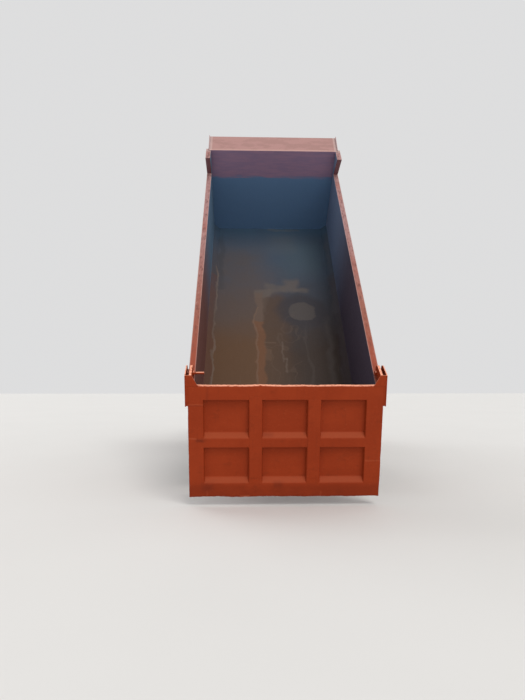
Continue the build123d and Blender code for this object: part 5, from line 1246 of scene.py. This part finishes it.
def tank_details():
    """Straps and caps of the tanks and the battery box, its grips, and the drains of the air tanks."""
    straps = [(round_box((-1.130, -0.475), (0.560, 1.080), 0.090, 0.003), "Y", *past(back, 0.050))
              for back in (1.705, 2.505)]
    straps += [(round_box((0.485, 0.980), (0.600, 1.040), 0.030, 0.003), "Y", *past(back, 0.030))
               for back in (1.760, 2.060)]
    straps.append((round_box((0.481, 0.984), (0.950, 1.045), 0.028), "Y", 1.596, 2.254))
    grips = [(staple((0.983, back, 0.88), (0.015, 0, 0), (0, 0, 0.06), 0.008), 0.005)
             for back in (1.775, 2.075)]
    fuel_cap = ((0.0, 0.062), (0.010, 0.062), (0.012, 0.050), (0.036, 0.050), (0.042, 0.044))
    oil_cap = ((0.0, 0.052), (0.020, 0.052), (0.026, 0.045), (0.034, 0.020))
    drain = ((-0.022, 0.007), (-0.012, 0.012), (0.004, 0.012))
    air_tanks = ((0.620, 0.860), (0.620, 0.590), (0.890, 0.590))
    caps = [((-0.860, 1.860, 1.079), "Z", fuel_cap, 32), ((0.6575, 0.920, 1.512), "Z", oil_cap, 28)]
    caps += [disc((x, back, z), 0.028, 0.1285, 40, "Y") for x, z in air_tanks for back in (2.470, 2.960)]
    caps += [((x, 2.740, z - 0.125), "Z", drain, 12) for x, z in air_tanks[1:]]
    assemble("tank_straps", soft_rubber, "chassis", prisms=straps, pipes=grips, lathes=caps, edge=0.002)


def pipe_details():
    """Exhaust pipe with the silencer's end caps, and the clamps of the air cleaner."""
    inlet = rounded([(-0.170, 0.240, 0.640), (-0.250, 0.560, 0.560), (-0.600, 0.670, 0.560),
                     (-0.760, 0.690, 0.640), (-0.760, 0.784, 0.760)], 0.09, 6)
    ends = [disc((-0.760, back, 0.760), 0.026, 0.1935, 48, "Y") for back in (0.830, 1.300)]
    assemble("exhaust_pipe", iron, "chassis", lathes=ends, pipes=[(inlet, 0.042)], edge=0.002)
    clamps = [(z, 0.022, 0.064, 32) for z in (1.700, 2.150, 2.560)]
    clamps += [(z, 0.018, 0.1685, 48) for z in (1.050, 1.520)]
    clamps += [(2.668 + 0.016 * row, 0.005, 0.1165, 40) for row in range(4)]
    assemble("cleaner_clamps", iron, "chassis", lathes=[disc((-0.69, 0.85, z), *form) for z, *form in clamps])


def oil_tank_details():
    """Ribs and the gauge glass of the oil tank."""
    ribs = [((0.8695, 0.8745), (0.850, 1.140), past(z, 0.012)) for z in (1.240, 1.310, 1.380)]
    gauge = ((0.0, 0.010), (0.004, 0.012), (0.176, 0.012), (0.180, 0.010))
    assemble("oil_tank_ribs", orange, "chassis", edge=0.002, boxes=ribs,
             lathes=[((0.872, 1.0, 1.01), "Z", gauge, 16)])


def tail_details():
    """Lamps, reflectors and the blank plate at the back."""
    face = 5.944
    bars = [(past(x, 0.006), past(face, 0.0032), (0.4755, 0.5845)) for x in (0.796, 0.936)]
    bars += [((0.658, 1.082), past(face, 0.0026), past(z, 0.004)) for z in (0.4745, 0.5815)]
    bars += [(past(x, 0.004), past(face, 0.0026), (0.4745, 0.5855)) for x in (0.658, 1.078)]
    assemble("tail_lamp_frames", plastic, "chassis", boxes=bars, twin=True)
    for name, material, xs in (("tail_indicators", amber_lens, (0.942, 1.078)),
                               ("tail_reverse", lamp_white, (0.662, 0.796))):
        assemble(name, material, "chassis", boxes=[(xs, past(face, 0.0022), (0.4785, 0.5815))], twin=True)
    spots = [((0.480, 5.9, 0.530), "Y", ((0.0, 0.036), (0.008, 0.036), (0.012, 0.030)), 28),
             disc((0.905, 5.7985, 0.700), 0.006, 0.030, 24, "Y")]
    assemble("rear_reflectors", red_lens, "chassis", lathes=spots, twin=True)
    plate = ((-0.255, 0.255), (5.8995, 5.9025), (0.474, 0.586))
    assemble("rear_plate", plate_white, "chassis", boxes=[plate], edge=0.001)


def mudguard_details():
    """Ridges of the flaps and the strips that hold them, ribs over the wheels, bolts and side markers."""
    ridges = [(past(0.620 + 0.040 * step, 0.008), (5.7975, 5.8015), (0.340, 0.640)) for step in range(15)]
    strip = ((0.612, 1.203), (5.7975, 5.8040), (0.862, 0.900))
    ribs = [((0.5925, 1.2225), past(back, 0.014), (1.1935, 1.2010)) for back in (3.900, 4.475, 5.050)]
    assemble("guard_ribs", plastic, "chassis", boxes=[*ridges, strip, *ribs], edge=0.001, twin=True)
    bolts = [((x, 5.804, 0.881), 0.009, 0.008, "Y", 1) for x in (0.660, 0.820, 0.990, 1.150)]
    bolts += [((x, 5.900, 0.612), 0.010, 0.009, "Y", 1) for x in (0.600, 0.840, 1.080)]
    assemble("guard_bolts", iron, "chassis", bolts=bolts, twin=True)
    markers = [((1.2245, 1.2300), past(back, 0.090), (1.1700, 1.1880)) for back in (3.760, 5.120)]
    assemble("side_markers", amber_lens, "chassis", boxes=markers, edge=0.002, twin=True)


def hoist_details():
    """Gland rings at the top of each tube of the hoist."""
    for body, radius in (("barrel", 0.097), ("stage_1", 0.080), ("stage_2", 0.063), ("stage_3", 0.042)):
        inner = radius + 0.0015
        outer = radius + 0.0145
        ring = ((-0.014, outer), (0.0, outer), (0.002, radius + 0.010), (0.002, inner), (-0.014, inner))
        shape = Shape(hoist)
        shape.lathe(ring, (0, 0, top_corner("hoist_" + body, hoist).z), "Z", 48, joined=True)
        shape.finish("gland_" + body, iron, body)


def bed_details():
    """Rope hooks, weld beads, bolts and ladder rungs on the outside of the bed."""
    stations = [-0.760 * row for row in range(6)]
    weld_x = 1.1595
    hooks = [(staple((1.2335, back - 0.690, 0.4), (0.0145, 0, 0), (0, 0.08, 0), 0.010), 0.0055)
             for back in stations[:5]]
    assemble("rope_hooks", bed_paint, "bed", pipes=hooks, twin=True, place=bed)
    beads = [(((weld_x, back - edge, 0.462), (weld_x, back - edge, 1.523)), 0.005)
             for back in stations for edge in (0.224, 0.086)]
    beads += [(((weld_x, front, up), (weld_x, 0.020, up)), 0.0055)
              for front, up in ((-4.4, 0.4615), (-4.1, 1.5235))]
    assemble("weld_beads", bed_paint, "bed", pipes=beads, twin=True, place=bed)
    heads = [((x, -4.5608, 0.960 + 0.140 * row), 0.013, 0.014, "Y", -1)
             for x in (0.260, 0.290) for row in range(4)]
    heads += [((1.235, 0.110, up), 0.012, 0.010, "X", 1) for up in (0.420, 0.480)]
    assemble("bed_bolts", bed_paint, "bed", bolts=heads, twin=True, place=bed)
    rungs = [(staple((0.965, -4.486, 0.620 + 0.280 * row), (0, -0.114, 0), (0.165, 0, 0), 0.020, 5), 0.010)
             for row in range(5)]
    assemble("ladder_rungs", bed_paint, "bed", pipes=rungs, place=bed)


screen_details()
cab_details()
for hand, sign in hands:
    door_details(hand, sign)
dashboard_details()
pedals()
front_details()
seats()
frame_details()
axle_details()
tank_details()
pipe_details()
oil_tank_details()
tail_details()
mudguard_details()
hoist_details()
bed_details()


def studio_floor():
    """Wide pale ground under the truck."""
    half = 60.0
    corners = [(-half, -half, 0), (half, -half, 0), (half, half, 0), (-half, half, 0)]
    mesh = bpy.data.meshes.new("studio_floor")
    mesh.from_pydata(corners, [], [(0, 1, 2, 3)])
    n = Nodes("floor_pale", roughness=0.9)
    share = n.step(n.noise(0.4), 0.3, 0.7)
    mesh.materials.append(n.finish(n.blend(share, (0.690, 0.682, 0.665), (0.680, 0.672, 0.655))))
    link("studio_floor", mesh)


def sky():
    """Pale, even light from all around."""
    world = bpy.data.worlds.new("studio")
    scene.world = world
    world.use_nodes = True
    background = world.node_tree.nodes["Background"]
    background.inputs["Color"].default_value = (0.97, 0.97, 0.975, 1.0)
    background.inputs["Strength"].default_value = 0.75


def turned(thing, place, ahead):
    """Puts a lamp or a camera at a place, looking along a direction."""
    thing.location = place
    thing.rotation_euler = (-Vector(ahead)).to_track_quat("Z", "Y").to_euler()


def sun(name, energy, place, spread, colour=(1.0, 1.0, 1.0)):
    """A sun that shines on a point over the middle of the truck, with its spread in degrees."""
    data = bpy.data.lights.new(name, "SUN")
    data.energy = energy
    data.color = colour
    data.angle = radians(spread)
    turned(link(name, data), place, Vector((0, 0, 2)) - Vector(place))


studio_floor()
sky()
sun("key", 1.2, (-4, 10, 14), 25, (1.0, 0.97, 0.93))
sun("low", 0.8, (-2.5, 10, 3.5), 50)
sun("fill", 0.7, (9, -8, 8), 40, (0.97, 0.98, 1.0))

# Camera, fitted to the edges in the photograph
image_height = 700
focal_pixels = 541.6
yaw = radians(1.78)
pitch = radians(3.3)
camera_x = 0.503
behind_gate = 6.906
eye_height = 1.6
camera_data = bpy.data.cameras.new("photo_view")
camera_data.sensor_fit = "AUTO"
camera_data.sensor_width = 36.0
camera_data.lens = focal_pixels / image_height * camera_data.sensor_width
camera_data.clip_end = 300.0
scene.camera = link("photo_view", camera_data)
turned(scene.camera, (camera_x, joint_at("gate_swing").y + behind_gate, eye_height),
       (-sin(yaw) * cos(pitch), -cos(yaw) * cos(pitch), sin(pitch)))
scene.view_settings.view_transform = "Standard"
